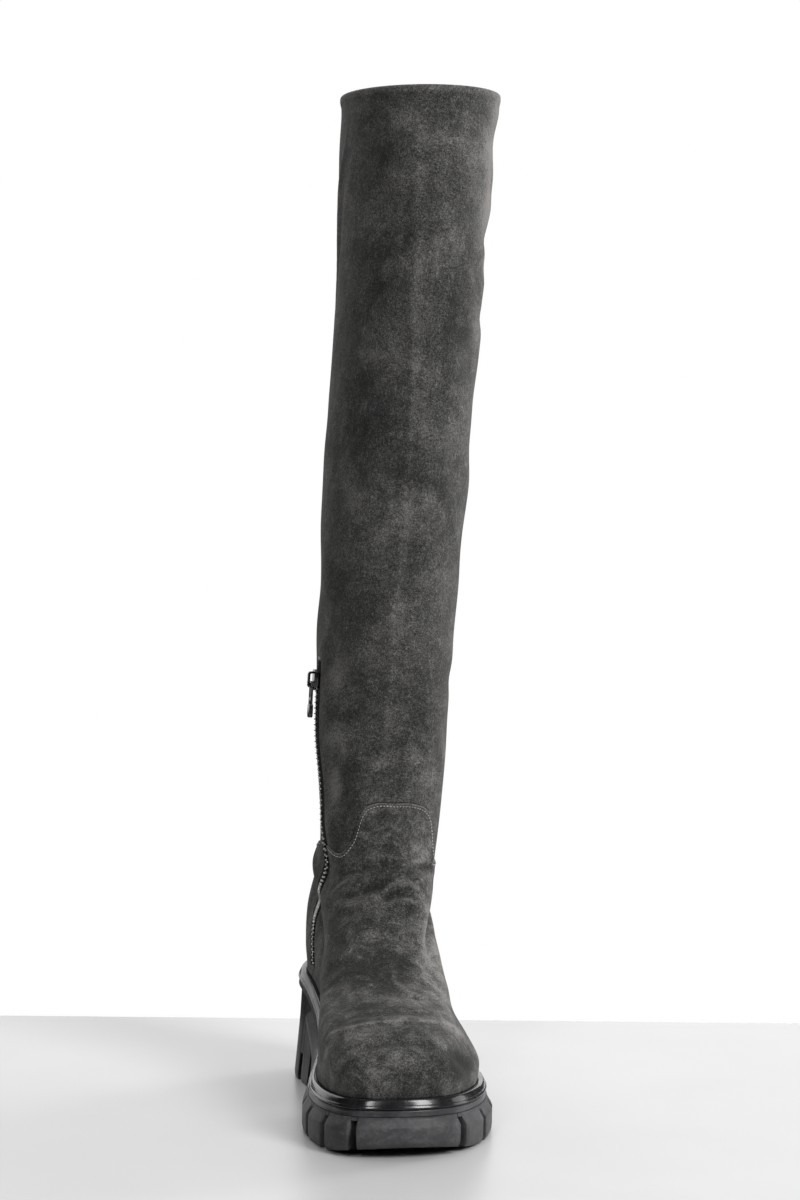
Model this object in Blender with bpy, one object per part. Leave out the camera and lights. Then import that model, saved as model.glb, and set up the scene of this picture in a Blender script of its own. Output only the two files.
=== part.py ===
"""Tall suede boot for a left foot: lugged platform sole, block heel, zip at the inner ankle.

Metres, +Z up, toe towards -Y, outer side of the foot towards +X.
The origin is the middle of the heel's ground face.
Tables are in millimetres and are turned into metres by MM.
"""
import math
from collections import namedtuple

import bmesh
import bpy
import numpy as np
from mathutils import Matrix, Vector

MM = 0.001

# Walls and the gap between pieces that meet
GAP = 0.3
UPPER_OUT = 0.5
UPPER_IN = -1.7
SHAFT_OUT = -0.5
SHAFT_IN = -2.3
COLLAR_TURN_HEIGHT = 4.0
COLLAR_TURN_STEP = 0.7

# Mesh fineness
COLUMNS_ROUND = 50
UPPER_ROWS = 18
SHAFT_LOW_ROWS = 8
SHAFT_HIGH_ROWS = 9
SOLE_COLUMNS = 56
TREAD_COLUMNS = 45
HEEL_COLUMNS = 25

# Sole thickness and ground line
MIDSOLE_DEPTH = 8.8
INSOLE_DEPTH = 3.0
BREAST_Y = -38.0
TREAD_FLAT_FRONT = -180.0
TREAD_FLAT_BACK = -118.0
TOE_SPRING = 7.2
TOE_SPRING_REACH = 41.0
WAIST_RISE = 38.0
HEEL_FLARE = 4.0
HEEL_BREAST_SLOPE = 4.0

# Lug notches, measured along the tread's edge from the toe, outer side positive
NOTCH_ARCS = (-112.0, -85.0, -57.5, -31.0, 35.5, 66.0, 95.0, 122.0)
NOTCH_WIDTH = 5.6
NOTCH_DEPTH = 9.0
NOTCH_TOP_MARGIN = 1.8
GROOVE_WIDTH = 5.0
GROOVE_DEPTH = 5.0
HEEL_NOTCH_ANGLES = (128.0, 152.0, 180.0, 208.0, 232.0)
HEEL_NOTCH_HEIGHT = 18.0

# Seam of the vamp over the shaft
SEAM_LOW = 136.0

# Zip
SLOT_HALF = 4.6
SLOT_FOOT = 7.0
SLOT_TOP_Z = 251.0
CHAIN_HALF = 2.6
SLIDER_Z = 240.0
TAB_LENGTH = 21.0

Station = namedtuple("Station", "y inner outer")
OUTLINE = (
    Station(-212.0, -12.0, -12.0),
    Station(-205.0, -37.0, 12.0),
    Station(-190.0, -44.0, 24.5),
    Station(-170.0, -47.5, 35.0),
    Station(-146.0, -47.5, 41.8),
    Station(-120.0, -42.5, 43.2),
    Station(-90.0, -33.5, 40.0),
    Station(-60.0, -28.0, 35.0),
    Station(-30.0, -28.0, 31.5),
    Station(0.0, -29.0, 30.0),
    Station(20.0, -22.0, 22.5),
    Station(31.0, 0.0, 0.0),
)

Height = namedtuple("Height", "y z")
SOLE_TOP = (
    Height(-212.0, 31.2),
    Height(-190.0, 29.6),
    Height(-150.0, 28.6),
    Height(-120.0, 29.2),
    Height(-95.0, 34.0),
    Height(-70.0, 43.2),
    Height(-45.0, 53.6),
    Height(-20.0, 61.3),
    Height(5.0, 65.5),
    Height(31.0, 68.0),
)

# Closed sections of the last and leg, each from its front point to its back point.
# foot_share says how much of the sole's plan is left in the section's width.
# The side scales narrow the fore part and fade out between waist and counter.
WAIST_COS = 0.0
COUNTER_COS = -0.85
Ring = namedtuple(
    "Ring",
    "name front_y front_z back_y back_z foot_share inner_scale outer_scale centre inner_half outer_half",
)
RINGS = (
    Ring("feather line", -212.0, 31.2, 31.0, 68.0, 1.00, 1.00, 1.00, 0.0, 40.0, 40.0),
    Ring("side wall", -214.5, 41.5, 33.5, 80.0, 1.00, 1.03, 1.00, 0.0, 40.0, 40.0),
    Ring("toe shoulder", -210.0, 54.0, 34.5, 92.0, 0.97, 1.02, 0.88, 0.0, 38.0, 36.0),
    Ring("toe top", -194.0, 63.0, 33.5, 104.0, 0.90, 0.96, 0.78, 1.0, 36.0, 33.0),
    Ring("vamp", -165.0, 70.0, 31.5, 115.0, 0.75, 0.90, 0.78, 2.0, 34.0, 34.0),
    Ring("low instep", -136.0, 80.0, 28.5, 126.0, 0.55, 0.82, 0.76, 3.0, 33.0, 32.0),
    Ring("instep", -110.0, 97.0, 25.5, 137.0, 0.28, 0.78, 0.72, 4.5, 33.5, 31.0),
    Ring("throat", -89.0, 120.0, 23.0, 149.0, 0.00, 0.75, 0.70, 6.5, 34.5, 32.0),
    Ring("front of ankle", -74.0, 146.0, 22.5, 163.0, 0.00, 0.70, 0.70, 8.5, 35.2, 34.0),
    Ring("ankle", -65.5, 172.0, 24.0, 181.0, 0.00, 0.70, 0.70, 9.5, 36.3, 36.0),
    Ring("low leg", -62.0, 204.0, 27.5, 207.0, 0.00, 0.70, 0.70, 9.7, 39.0, 39.0),
    Ring("under calf", -64.0, 249.0, 35.0, 249.0, 0.00, 0.70, 0.70, 12.0, 40.3, 40.3),
    Ring("calf", -70.0, 331.0, 48.0, 331.0, 0.00, 0.70, 0.70, 16.0, 42.1, 42.1),
    Ring("over calf", -75.0, 423.0, 54.0, 423.0, 0.00, 0.70, 0.70, 21.5, 42.3, 42.6),
    Ring("knee", -79.0, 514.0, 58.0, 514.0, 0.00, 0.70, 0.70, 26.3, 43.9, 43.9),
    Ring("collar", -82.0, 586.5, 61.0, 586.5, 0.00, 0.70, 0.70, 29.0, 45.8, 46.4),
)

# Soft dents and bulges at the ankle: place, reach round and up, and move towards +X
Dent = namedtuple("Dent", "name degrees wall reach_degrees reach_up sideways")
DENTS = (
    Dent("inner ankle pinch", -76.0, 117.0, 24.0, 15.0, 3.8),
    Dent("inner quarter bulge", -124.0, 102.0, 27.0, 18.0, -3.4),
    Dent("outer ankle crease", 66.0, 101.0, 24.0, 10.0, -1.6),
)

# Raised vamp flap: height over the low seam by angle from the front line, inner side under zero
FlapEdge = namedtuple("FlapEdge", "degrees rise")
FLAP = (
    FlapEdge(-180.0, 0.0),
    FlapEdge(-140.0, 2.0),
    FlapEdge(-110.0, 8.0),
    FlapEdge(-90.0, 9.0),
    FlapEdge(-74.0, 7.5),
    FlapEdge(-64.0, 5.6),
    FlapEdge(-57.0, 5.9),
    FlapEdge(-51.0, 8.0),
    FlapEdge(-46.0, 11.4),
    FlapEdge(-40.0, 16.8),
    FlapEdge(-34.5, 26.0),
    FlapEdge(-29.0, 32.0),
    FlapEdge(-20.0, 35.3),
    FlapEdge(0.0, 36.0),
    FlapEdge(22.0, 35.0),
    FlapEdge(36.0, 31.5),
    FlapEdge(41.0, 28.5),
    FlapEdge(46.0, 21.5),
    FlapEdge(51.0, 10.0),
    FlapEdge(56.0, 3.0),
    FlapEdge(66.0, 0.0),
    FlapEdge(180.0, 0.0),
)

# Line of the zip on the inner side, from its foot to its top
ZIP_PATH = (
    Height(-18.0, 55.0),
    Height(-17.0, 74.0),
    Height(-15.0, 88.0),
    Height(-17.0, 100.0),
    Height(-25.0, 111.0),
    Height(-35.0, 122.0),
    Height(-38.0, 133.0),
    Height(-33.0, 144.0),
    Height(-26.5, 156.0),
    Height(-23.5, 172.0),
    Height(-19.0, 205.0),
    Height(-16.5, 240.0),
    Height(-16.0, 270.0),
)

# Edge profiles: how far outside the feather line, and how deep
Profile = namedtuple("Profile", "name out drop")
MIDSOLE_EDGE = (
    Profile("seat", 0.9, 0.0),
    Profile("bead inside", 1.5, -0.25),
    Profile("bead crown", 3.0, -0.6),
    Profile("bead shoulder", 4.5, 0.5),
    Profile("bead nose", 5.3, 2.8),
    Profile("bead under", 4.8, 4.7),
    Profile("groove", 4.1, 5.5),
    Profile("band top", 4.8, 6.1),
    Profile("band middle", 5.0, 7.4),
    Profile("band foot", 5.3, MIDSOLE_DEPTH),
)
INSOLE_EDGE = (
    Profile("top", -2.6, -GAP - INSOLE_DEPTH),
    Profile("foot", -2.6, -GAP),
)

# Edge profiles between a top and a bottom surface, share 0 at the top
Wall = namedtuple("Wall", "name out share")
TREAD_EDGE = (
    Wall("ledge", 5.7, 0.00),
    Wall("shoulder", 6.1, 0.09),
    Wall("bevel", 8.8, 0.335),
    Wall("side", 8.8, 0.86),
    Wall("foot", 7.6, 1.00),
)
HEEL_EDGE = (
    Wall("top", 3.2, 0.00),
    Wall("waist", 2.8, 0.35),
    Wall("side", 3.0, 0.70),
    Wall("low", 3.2, 0.95),
    Wall("foot", 2.2, 1.00),
)


def smooth_surface(knots, values, where):
    """Cubic through values[knot, point, axis], read at one place for each point."""
    knots = np.asarray(knots, float)
    spans = np.diff(knots)
    chords = (values[1:] - values[:-1]) / spans[:, None, None]
    share = (spans[:-1] / (spans[:-1] + spans[1:]))[:, None, None]
    slopes = np.empty_like(values)
    slopes[1:-1] = chords[:-1] * (1.0 - share) + chords[1:] * share
    slopes[0] = chords[0]
    slopes[-1] = chords[-1]
    low = np.clip(np.searchsorted(knots, where) - 1, 0, len(spans) - 1)
    point = np.arange(len(where))
    span = spans[low][:, None]
    f = ((where - knots[low]) / spans[low])[:, None]
    start = values[low, point] * (1.0 + 2.0 * f) + slopes[low, point] * span * f
    end = values[low + 1, point] * (3.0 - 2.0 * f) - slopes[low + 1, point] * span * (1.0 - f)
    return start * (1.0 - f) ** 2 + end * f ** 2


def smooth_curve(knots, values, where):
    """Cubic through single values."""
    where = np.atleast_1d(np.asarray(where, float))
    values = np.asarray(values, float)[:, None, None]
    spread = np.repeat(values, len(where), axis=1)
    return smooth_surface(knots, spread, where)[:, 0]


def feather_y(t):
    """Place along the foot of outline angle t: 0 at the toe, pi at the heel."""
    return OUTLINE[0].y + (OUTLINE[-1].y - OUTLINE[0].y) * (1.0 - np.cos(t)) / 2.0


def feather_x(t):
    """Sideways place of the feather line; t runs from the toe by the outer side."""
    length = OUTLINE[-1].y - OUTLINE[0].y
    angles = [math.acos(1.0 - 2.0 * (s.y - OUTLINE[0].y) / length) for s in OUTLINE]
    inner = [s.inner for s in OUTLINE]
    outer = [s.outer for s in OUTLINE]
    full = 2.0 * math.pi
    knots = [-a for a in angles[2:0:-1]] + angles
    knots += [full - a for a in angles[-2::-1]] + [full + a for a in angles[1:3]]
    values = inner[2:0:-1] + outer + inner[-2::-1] + outer[1:3]
    return smooth_curve(knots, values, np.mod(t, full))


def sole_top(y):
    """Height of the midsole's top along the foot."""
    y = np.clip(y, SOLE_TOP[0].y, SOLE_TOP[-1].y)
    return smooth_curve([h.y for h in SOLE_TOP], [h.z for h in SOLE_TOP], y)


def outline(t, out):
    """Plan of the feather line moved outwards by out."""
    step = 1e-3
    dx = feather_x(t + step) - feather_x(t - step)
    dy = feather_y(t + step) - feather_y(t - step)
    length = np.hypot(dx, dy)
    return feather_x(t) + out * dy / length, feather_y(t) - out * dx / length


def tread_bottom(y):
    """Ground side of the tread: toe spring, flat ball, arched waist."""
    toe = np.clip((TREAD_FLAT_FRONT - y) / TOE_SPRING_REACH, 0.0, None)
    waist = np.clip((y - TREAD_FLAT_BACK) / (BREAST_Y - TREAD_FLAT_BACK), 0.0, None)
    return TOE_SPRING * toe ** 2 + WAIST_RISE * waist ** 1.5


def ring_points(t):
    """All sections at angles t."""
    along = (1.0 - np.cos(t)) / 2.0
    plan = feather_x(t)
    middle = (plan + feather_x(-t)) / 2.0
    lift = (sole_top(feather_y(t)) - RINGS[0].front_z) / (RINGS[0].back_z - RINGS[0].front_z)
    outer_side = np.sin(t) > 0.0
    fore = np.clip((np.cos(t) - COUNTER_COS) / (WAIST_COS - COUNTER_COS), 0.0, 1.0)
    fore = fore * fore * (3.0 - 2.0 * fore)
    points = []
    for ring in RINGS:
        y = ring.front_y + (ring.back_y - ring.front_y) * along
        height = ring.foot_share * lift + (1.0 - ring.foot_share) * along
        z = ring.front_z + (ring.back_z - ring.front_z) * height
        scale = 1.0 - (1.0 - np.where(outer_side, ring.outer_scale, ring.inner_scale)) * fore
        half = np.where(outer_side, ring.outer_half, ring.inner_half)
        foot = middle + (plan - middle) * scale
        leg = ring.centre + half * np.sin(t)
        x = ring.foot_share * foot + (1.0 - ring.foot_share) * leg
        points.append(np.stack([x, y, z], axis=-1))
    return np.array(points)


def ring_knots():
    """Mean distance of each section from the feather line, along the wall."""
    points = ring_points(np.linspace(0.0, 2.0 * math.pi, 64, endpoint=False))
    steps = np.linalg.norm(np.diff(points, axis=0), axis=2).mean(axis=1)
    return np.concatenate([[0.0], np.cumsum(steps)])


KNOTS = ring_knots()
WALL_TOP = KNOTS[-1]


def dent_shift(t, v):
    """Move towards +X of the dents and bulges at angles t and wall distances v."""
    shift = np.zeros(t.shape)
    for dent in DENTS:
        turn = np.mod(t - math.radians(dent.degrees) + math.pi, 2.0 * math.pi) - math.pi
        round_share = turn / math.radians(dent.reach_degrees)
        up_share = (v - dent.wall) / dent.reach_up
        shift += dent.sideways * np.exp(-round_share ** 2 - up_share ** 2)
    return shift


def base_surface(t, v):
    """Middle form of the upper: angle t round, v up the wall."""
    t, v = np.broadcast_arrays(np.asarray(t, float), np.asarray(v, float))
    points = smooth_surface(KNOTS, ring_points(t.ravel()), v.ravel()).reshape(t.shape + (3,))
    points[..., 0] += dent_shift(t, v)
    return points


def surface_frame(t, v):
    """Point, direction round, direction up and outward normal of the form."""
    step_t = 2e-3
    step_v = 0.4
    v_low = np.clip(np.asarray(v, float) - step_v, 0.0, WALL_TOP)
    v_high = np.clip(np.asarray(v, float) + step_v, 0.0, WALL_TOP)
    around = base_surface(np.asarray(t) + step_t, v) - base_surface(np.asarray(t) - step_t, v)
    up = base_surface(t, v_high) - base_surface(t, v_low)
    normal = np.cross(around, up)
    normal /= np.linalg.norm(normal, axis=-1, keepdims=True)
    return base_surface(t, v), around / (2.0 * step_t), up, normal


def offset_surface(t, v, out):
    """The form moved outwards by out."""
    point, _, _, normal = surface_frame(t, v)
    return point + normal * np.asarray(out)[..., None]


def height_to_wall(t, z):
    """Wall distance v at which each angle t reaches its height z."""
    steps = np.linspace(0.0, WALL_TOP, 300)
    heights = base_surface(t[:, None], steps[None, :])[..., 2]
    return np.array([np.interp(goal, row, steps) for goal, row in zip(z, heights)])


def seam_table():
    """Wall distance of the vamp seam for angles round the leg."""
    angles = np.linspace(0.0, 2.0 * math.pi, 241)
    from_front = np.degrees(np.mod(angles + math.pi, 2.0 * math.pi) - math.pi)
    rise = smooth_curve([f.degrees for f in FLAP], [f.rise for f in FLAP], from_front)
    return angles, height_to_wall(angles, SEAM_LOW + np.clip(rise, 0.0, None))


def zip_table():
    """Angle of the zip line for wall distances up the leg."""
    steps = np.linspace(0.0, WALL_TOP, 240)
    angles = np.radians(np.linspace(200.0, 300.0, 80))
    points = base_surface(angles[None, :], steps[:, None])
    heights = np.clip(points[..., 2], ZIP_PATH[0].z, ZIP_PATH[-1].z)
    line = smooth_curve([h.z for h in ZIP_PATH], [h.y for h in ZIP_PATH], heights.ravel())
    miss = line.reshape(heights.shape) - points[..., 1]
    return steps, np.array([np.interp(0.0, row, angles) for row in miss])


SEAM_ANGLES, SEAM_WALLS = seam_table()
ZIP_WALLS, ZIP_ANGLES = zip_table()


def seam_wall(t):
    return np.interp(np.mod(t, 2.0 * math.pi), SEAM_ANGLES, SEAM_WALLS)


def zip_angle(v):
    return np.interp(v, ZIP_WALLS, ZIP_ANGLES)


def zip_side_angle(v, aside):
    """Angle of a line beside the zip, positive towards the toe."""
    t = zip_angle(v)
    _, around, _, _ = surface_frame(t, v)
    return t + aside / np.linalg.norm(around, axis=-1)


def zip_wall(z):
    """Wall distance at which the zip line reaches height z."""
    heights = base_surface(ZIP_ANGLES, ZIP_WALLS)[:, 2]
    return float(np.interp(z, heights, ZIP_WALLS))


SLOT_TOP = zip_wall(SLOT_TOP_Z)


def column_angles(v):
    """Angle of each wall column at its own v: from the slot's toe edge round to its heel edge.

    The last column lies on the zip line and closes the slot where the wall has none.
    """
    start = zip_side_angle(v, SLOT_HALF)
    end = zip_side_angle(v, -SLOT_HALF) + 2.0 * math.pi
    share = np.arange(len(v)) / COLUMNS_ROUND
    angles = start + (end - start) * share
    angles[-1] = zip_angle(v[-1]) + 2.0 * math.pi
    return angles


def wall_grid(share_to_wall, shares):
    """Angles and wall distances of a grid whose rows follow share_to_wall(share, angles)."""
    columns = COLUMNS_ROUND + 2
    t = np.zeros((len(shares), columns))
    v = np.zeros((len(shares), columns))
    for row, share in enumerate(shares):
        walls = share_to_wall(share, np.full(columns, math.pi))
        for _ in range(5):
            angles = column_angles(walls)
            walls = share_to_wall(share, angles)
        t[row] = angles
        v[row] = walls
    return t, v


def new_material(name, colour, roughness, metallic=0.0):
    material = bpy.data.materials.new(name)
    material.use_nodes = True
    shader = material.node_tree.nodes["Principled BSDF"]
    shader.inputs["Base Color"].default_value = (*colour, 1.0)
    shader.inputs["Roughness"].default_value = roughness
    shader.inputs["Metallic"].default_value = metallic
    return material


def add_object(name, form, material):
    """Object from a bmesh, with its faces turned outwards and cut into triangles."""
    bmesh.ops.recalc_face_normals(form, faces=form.faces)
    bmesh.ops.triangulate(form, faces=form.faces)
    mesh = bpy.data.meshes.new(name)
    form.to_mesh(mesh)
    form.free()
    mesh.materials.append(material)
    made = bpy.data.objects.new(name, mesh)
    bpy.context.collection.objects.link(made)
    return made


def add_verts(form, points):
    return [form.verts.new(Vector(p) * MM) for p in np.asarray(points, float).reshape(-1, 3)]


def add_wall(name, outer, inner, cells, material):
    """Hollow wall between two grids that close on themselves, with faces where cells is true."""
    rows, columns = cells.shape
    form = bmesh.new()
    outside = add_verts(form, outer)
    inside = add_verts(form, inner)

    def at(verts, row, column):
        return verts[row * columns + column % columns]

    def present(row, column):
        return 0 <= row < rows and cells[row, column % columns]

    for row in range(rows):
        for column in range(columns):
            if not present(row, column):
                continue
            corners = ((row, column), (row, column + 1), (row + 1, column + 1), (row + 1, column))
            form.faces.new([at(outside, *c) for c in corners])
            form.faces.new([at(inside, *c) for c in reversed(corners)])
            beside = ((row - 1, column), (row, column + 1), (row + 1, column), (row, column - 1))
            for side, neighbour in enumerate(beside):
                if not present(*neighbour):
                    a = corners[side]
                    b = corners[(side + 1) % 4]
                    form.faces.new([at(outside, *b), at(outside, *a), at(inside, *a), at(inside, *b)])
    bmesh.ops.delete(form, geom=[v for v in form.verts if not v.link_faces], context="VERTS")
    return add_object(name, form, material)


def add_band(name, columns, closed, material):
    """Solid from columns of an edge: side wall, and a ladder of faces across top and bottom."""
    count, rows = columns.shape[:2]
    form = bmesh.new()
    verts = add_verts(form, columns)

    def at(column, row):
        return verts[(column % count) * rows + row]

    last = count if closed else count - 1
    for column in range(last):
        for row in range(rows - 1):
            form.faces.new([at(column, row), at(column + 1, row), at(column + 1, row + 1), at(column, row + 1)])
    for row in (0, rows - 1):
        for column in range(last // 2):
            rung = [at(column, row), at(column + 1, row), at(last - column - 1, row), at(last - column, row)]
            form.faces.new(list(dict.fromkeys(rung)))
    if not closed:
        ends = [at(0, row) for row in range(rows)]
        ends += [at(count - 1, row) for row in reversed(range(rows))]
        form.faces.new(ends)
    return add_object(name, form, material)


def add_box(form, centre, along, across, size_along, widths, z_low, z_high):
    """Box with its length along one plan direction, and a width at its foot and at its top."""
    corners = []
    for z, width in ((z_low, widths[0]), (z_high, widths[1])):
        for side_along, side_across in ((-1, -1), (1, -1), (1, 1), (-1, 1)):
            x = centre[0] + along[0] * side_along * size_along / 2 + across[0] * side_across * width / 2
            y = centre[1] + along[1] * side_along * size_along / 2 + across[1] * side_across * width / 2
            corners.append((x, y, z))
    verts = add_verts(form, corners)
    for face in ((0, 1, 2, 3), (4, 5, 6, 7), (0, 1, 5, 4), (1, 2, 6, 5), (2, 3, 7, 6), (3, 0, 4, 7)):
        form.faces.new([verts[i] for i in face])


def apply_boolean(target, tool, operation):
    """Carry out an exact boolean, then drop the tool."""
    change = target.modifiers.new("change", "BOOLEAN")
    change.operation = operation
    change.solver = "EXACT"
    change.object = tool
    graph = bpy.context.evaluated_depsgraph_get()
    result = bpy.data.meshes.new_from_object(target.evaluated_get(graph))
    target.modifiers.clear()
    old = target.data
    target.data = result
    result.name = old.name
    bpy.data.meshes.remove(old)
    bpy.data.objects.remove(tool)
    tidy = bmesh.new()
    tidy.from_mesh(result)
    bmesh.ops.remove_doubles(tidy, verts=tidy.verts, dist=1e-6)
    bmesh.ops.triangulate(tidy, faces=tidy.faces)
    tidy.to_mesh(result)
    tidy.free()


def build_upper(material):
    """Vamp, quarters and counter in one wall with the flap, open at the seam, zip and underneath."""
    foot = GAP

    def wall_of(share, t):
        if share == 0.0:
            return np.full(len(t), foot)
        return SLOT_FOOT + (seam_wall(t) - GAP / 2 - SLOT_FOOT) * (share - 0.001)

    rise = (np.arange(UPPER_ROWS + 1) / UPPER_ROWS) ** 1.15
    shares = np.concatenate([[0.0], rise + 0.001])
    t, v = wall_grid(wall_of, shares)
    outer = offset_surface(t, v, np.full(t.shape, UPPER_OUT))
    inner = offset_surface(t, v, np.full(t.shape, UPPER_IN))
    cells = np.ones((t.shape[0] - 1, t.shape[1]), bool)
    cells[1:, COLUMNS_ROUND:] = False
    return add_wall("upper", outer, inner, cells, material)


def build_shaft(material):
    """Leg tube from the vamp seam to the collar, with the zip's slot and a turned top edge."""

    def wall_of(share, t):
        seam = seam_wall(t) + GAP / 2
        if share <= 1.0:
            return seam + (SLOT_TOP - seam) * share
        return SLOT_TOP + (WALL_TOP - SLOT_TOP) * (share - 1.0) * np.ones(len(t))

    turn = COLLAR_TURN_HEIGHT / (WALL_TOP - SLOT_TOP)
    low = np.linspace(0.0, 1.0, SHAFT_LOW_ROWS + 1)
    high = np.linspace(1.0, 2.0 - 1.3 * turn, SHAFT_HIGH_ROWS + 1)[1:]
    edge = np.array([2.0 - turn, 2.0 - 0.25 * turn, 2.0])
    shares = np.concatenate([low, high, edge])
    t, v = wall_grid(wall_of, shares)
    out = np.full(t.shape, SHAFT_OUT)
    out[-3:-1] += COLLAR_TURN_STEP
    out[-1] += 0.4 * COLLAR_TURN_STEP
    outer = offset_surface(t, v, out)
    inner = offset_surface(t, v, np.full(t.shape, SHAFT_IN))
    cells = np.ones((t.shape[0] - 1, t.shape[1]), bool)
    cells[:SHAFT_LOW_ROWS, COLUMNS_ROUND:] = False
    return add_wall("shaft", outer, inner, cells, material)


def edge_columns(t, profile):
    """Columns of an edge that hangs from the sole's top."""
    top = sole_top(feather_y(t))
    rows = []
    for step in profile:
        x, y = outline(t, step.out)
        rows.append(np.stack([x, y, top - step.drop], axis=-1))
    return np.stack(rows, axis=1)


def build_midsole(material):
    t = np.linspace(-math.pi, math.pi, SOLE_COLUMNS, endpoint=False)
    return add_band("midsole", edge_columns(t, MIDSOLE_EDGE), True, material)


def build_insole(material):
    t = np.linspace(-math.pi, math.pi, SOLE_COLUMNS, endpoint=False)
    return add_band("insole", edge_columns(t, INSOLE_EDGE), True, material)


def angle_at(y):
    """Outer-side angle at which the feather line reaches y."""
    length = OUTLINE[-1].y - OUTLINE[0].y
    return math.acos(1.0 - 2.0 * (y - OUTLINE[0].y) / length)


def build_tread(material):
    """Outsole from toe to heel breast, with notched edge lugs and grooves underneath."""
    end = angle_at(BREAST_Y)
    t = np.linspace(-end, end, TREAD_COLUMNS)
    top = sole_top(feather_y(t)) - MIDSOLE_DEPTH - GAP
    rows = []
    for step in TREAD_EDGE:
        x, y = outline(t, step.out)
        y = np.minimum(y, BREAST_Y)
        y[[0, -1]] = BREAST_Y
        bottom = tread_bottom(y)
        rows.append(np.stack([x, y, top + (bottom - top) * step.share], axis=-1))
    tread = add_band("outsole", np.stack(rows, axis=1), False, material)

    dense = np.linspace(-end, end, 1201)
    edge_x, edge_y = outline(dense, TREAD_EDGE[2].out)
    arcs = np.concatenate([[0.0], np.cumsum(np.hypot(np.diff(edge_x), np.diff(edge_y)))])
    arcs -= np.interp(0.0, dense, arcs)
    notches = bmesh.new()
    for arc in NOTCH_ARCS:
        angle = np.array([np.interp(arc, arcs, dense)])
        foot_x, foot_y = outline(angle, TREAD_EDGE[2].out)
        in_x, in_y = outline(angle, 0.0)
        out_way = np.array([foot_x[0] - in_x[0], foot_y[0] - in_y[0]]) / TREAD_EDGE[2].out
        across = np.array([-out_way[1], out_way[0]])
        reach = NOTCH_DEPTH + 3.0
        centre = np.array([foot_x[0], foot_y[0]]) + out_way * (3.0 - reach / 2)
        ledge = sole_top(feather_y(angle))[0] - MIDSOLE_DEPTH - GAP
        widths = (NOTCH_WIDTH, NOTCH_WIDTH - 1.2)
        add_box(notches, centre, out_way, across, reach, widths, -2.0, ledge - NOTCH_TOP_MARGIN)
    apply_boolean(tread, add_object("notches", notches, material), "DIFFERENCE")

    long_grooves = bmesh.new()
    for x, lean in ((-26.0, 0.0), (16.0, 0.0)):
        centre = (x, -152.0)
        add_box(long_grooves, centre, (lean, 1.0), (1.0, -lean), 84.0, (GROOVE_WIDTH,) * 2, -2.0, GROOVE_DEPTH)
    apply_boolean(tread, add_object("grooves", long_grooves, material), "DIFFERENCE")

    bars = bmesh.new()
    for y in (-186.0, -163.0, -140.0, -117.0):
        add_box(bars, (-5.0, y), (1.0, 0.0), (0.0, 1.0), 37.0 + GROOVE_WIDTH, (GROOVE_WIDTH,) * 2, -2.0, GROOVE_DEPTH)
    apply_boolean(tread, add_object("bars", bars, material), "DIFFERENCE")
    return tread


def heel_plan(t, out, share, breast):
    """Plan of the heel block, flared towards its foot."""
    x, y = outline(t, out)
    y = np.maximum(y, breast)
    y[[0, -1]] = breast
    x = x + HEEL_FLARE * share * np.clip(x / 28.0, -1.0, 1.0)
    back = OUTLINE[-1].y
    y = y + HEEL_BREAST_SLOPE * share * (back - y) / (back - breast)
    return x, y


def build_heel(material):
    """Heel block under the midsole, with lug notches round its foot."""
    breast = BREAST_Y + GAP
    start = angle_at(breast)
    t = np.linspace(start, 2.0 * math.pi - start, HEEL_COLUMNS)
    top = sole_top(feather_y(t)) - MIDSOLE_DEPTH - GAP
    rows = []
    for step in HEEL_EDGE:
        x, y = heel_plan(t, step.out, step.share, breast)
        rows.append(np.stack([x, y, top * (1.0 - step.share)], axis=-1))
    heel = add_band("heel", np.stack(rows, axis=1), False, material)

    notches = bmesh.new()
    for degrees in HEEL_NOTCH_ANGLES:
        angle = np.array([math.radians(degrees)])
        x, y = outline(angle, HEEL_EDGE[3].out + HEEL_FLARE)
        in_x, in_y = outline(angle, 0.0)
        out_way = np.array([x[0] - in_x[0], y[0] - in_y[0]]) / (HEEL_EDGE[3].out + HEEL_FLARE)
        across = np.array([-out_way[1], out_way[0]])
        centre = np.array([x[0], y[0]]) - out_way * 2.0
        add_box(notches, centre, out_way, across, 14.0, (NOTCH_WIDTH, NOTCH_WIDTH - 1.2), -2.0, HEEL_NOTCH_HEIGHT)
    apply_boolean(heel, add_object("heel_notches", notches, material), "DIFFERENCE")

    bars = bmesh.new()
    for y in (-14.0, 8.0):
        add_box(bars, (0.0, y), (1.0, 0.0), (0.0, 1.0), 36.0, (GROOVE_WIDTH,) * 2, -2.0, GROOVE_DEPTH)
    apply_boolean(heel, add_object("heel_bars", bars, material), "DIFFERENCE")
    return heel


def build_strip(name, v, half, low, high, material):
    """Strip along the zip between two depths off the form."""
    form = bmesh.new()
    sections = []
    for aside, out in ((-half, high), (half, high), (half, low), (-half, low)):
        t = zip_side_angle(v, aside)
        sections.append(offset_surface(t, v, np.full(len(v), out)))
    points = np.stack(sections, axis=1)
    verts = add_verts(form, points)
    for step in range(len(v) - 1):
        for side in range(4):
            after = (side + 1) % 4
            a = step * 4
            form.faces.new([verts[a + side], verts[a + after], verts[a + 4 + after], verts[a + 4 + side]])
    form.faces.new(verts[:4])
    form.faces.new(verts[-4:])
    return add_object(name, form, material)


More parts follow.
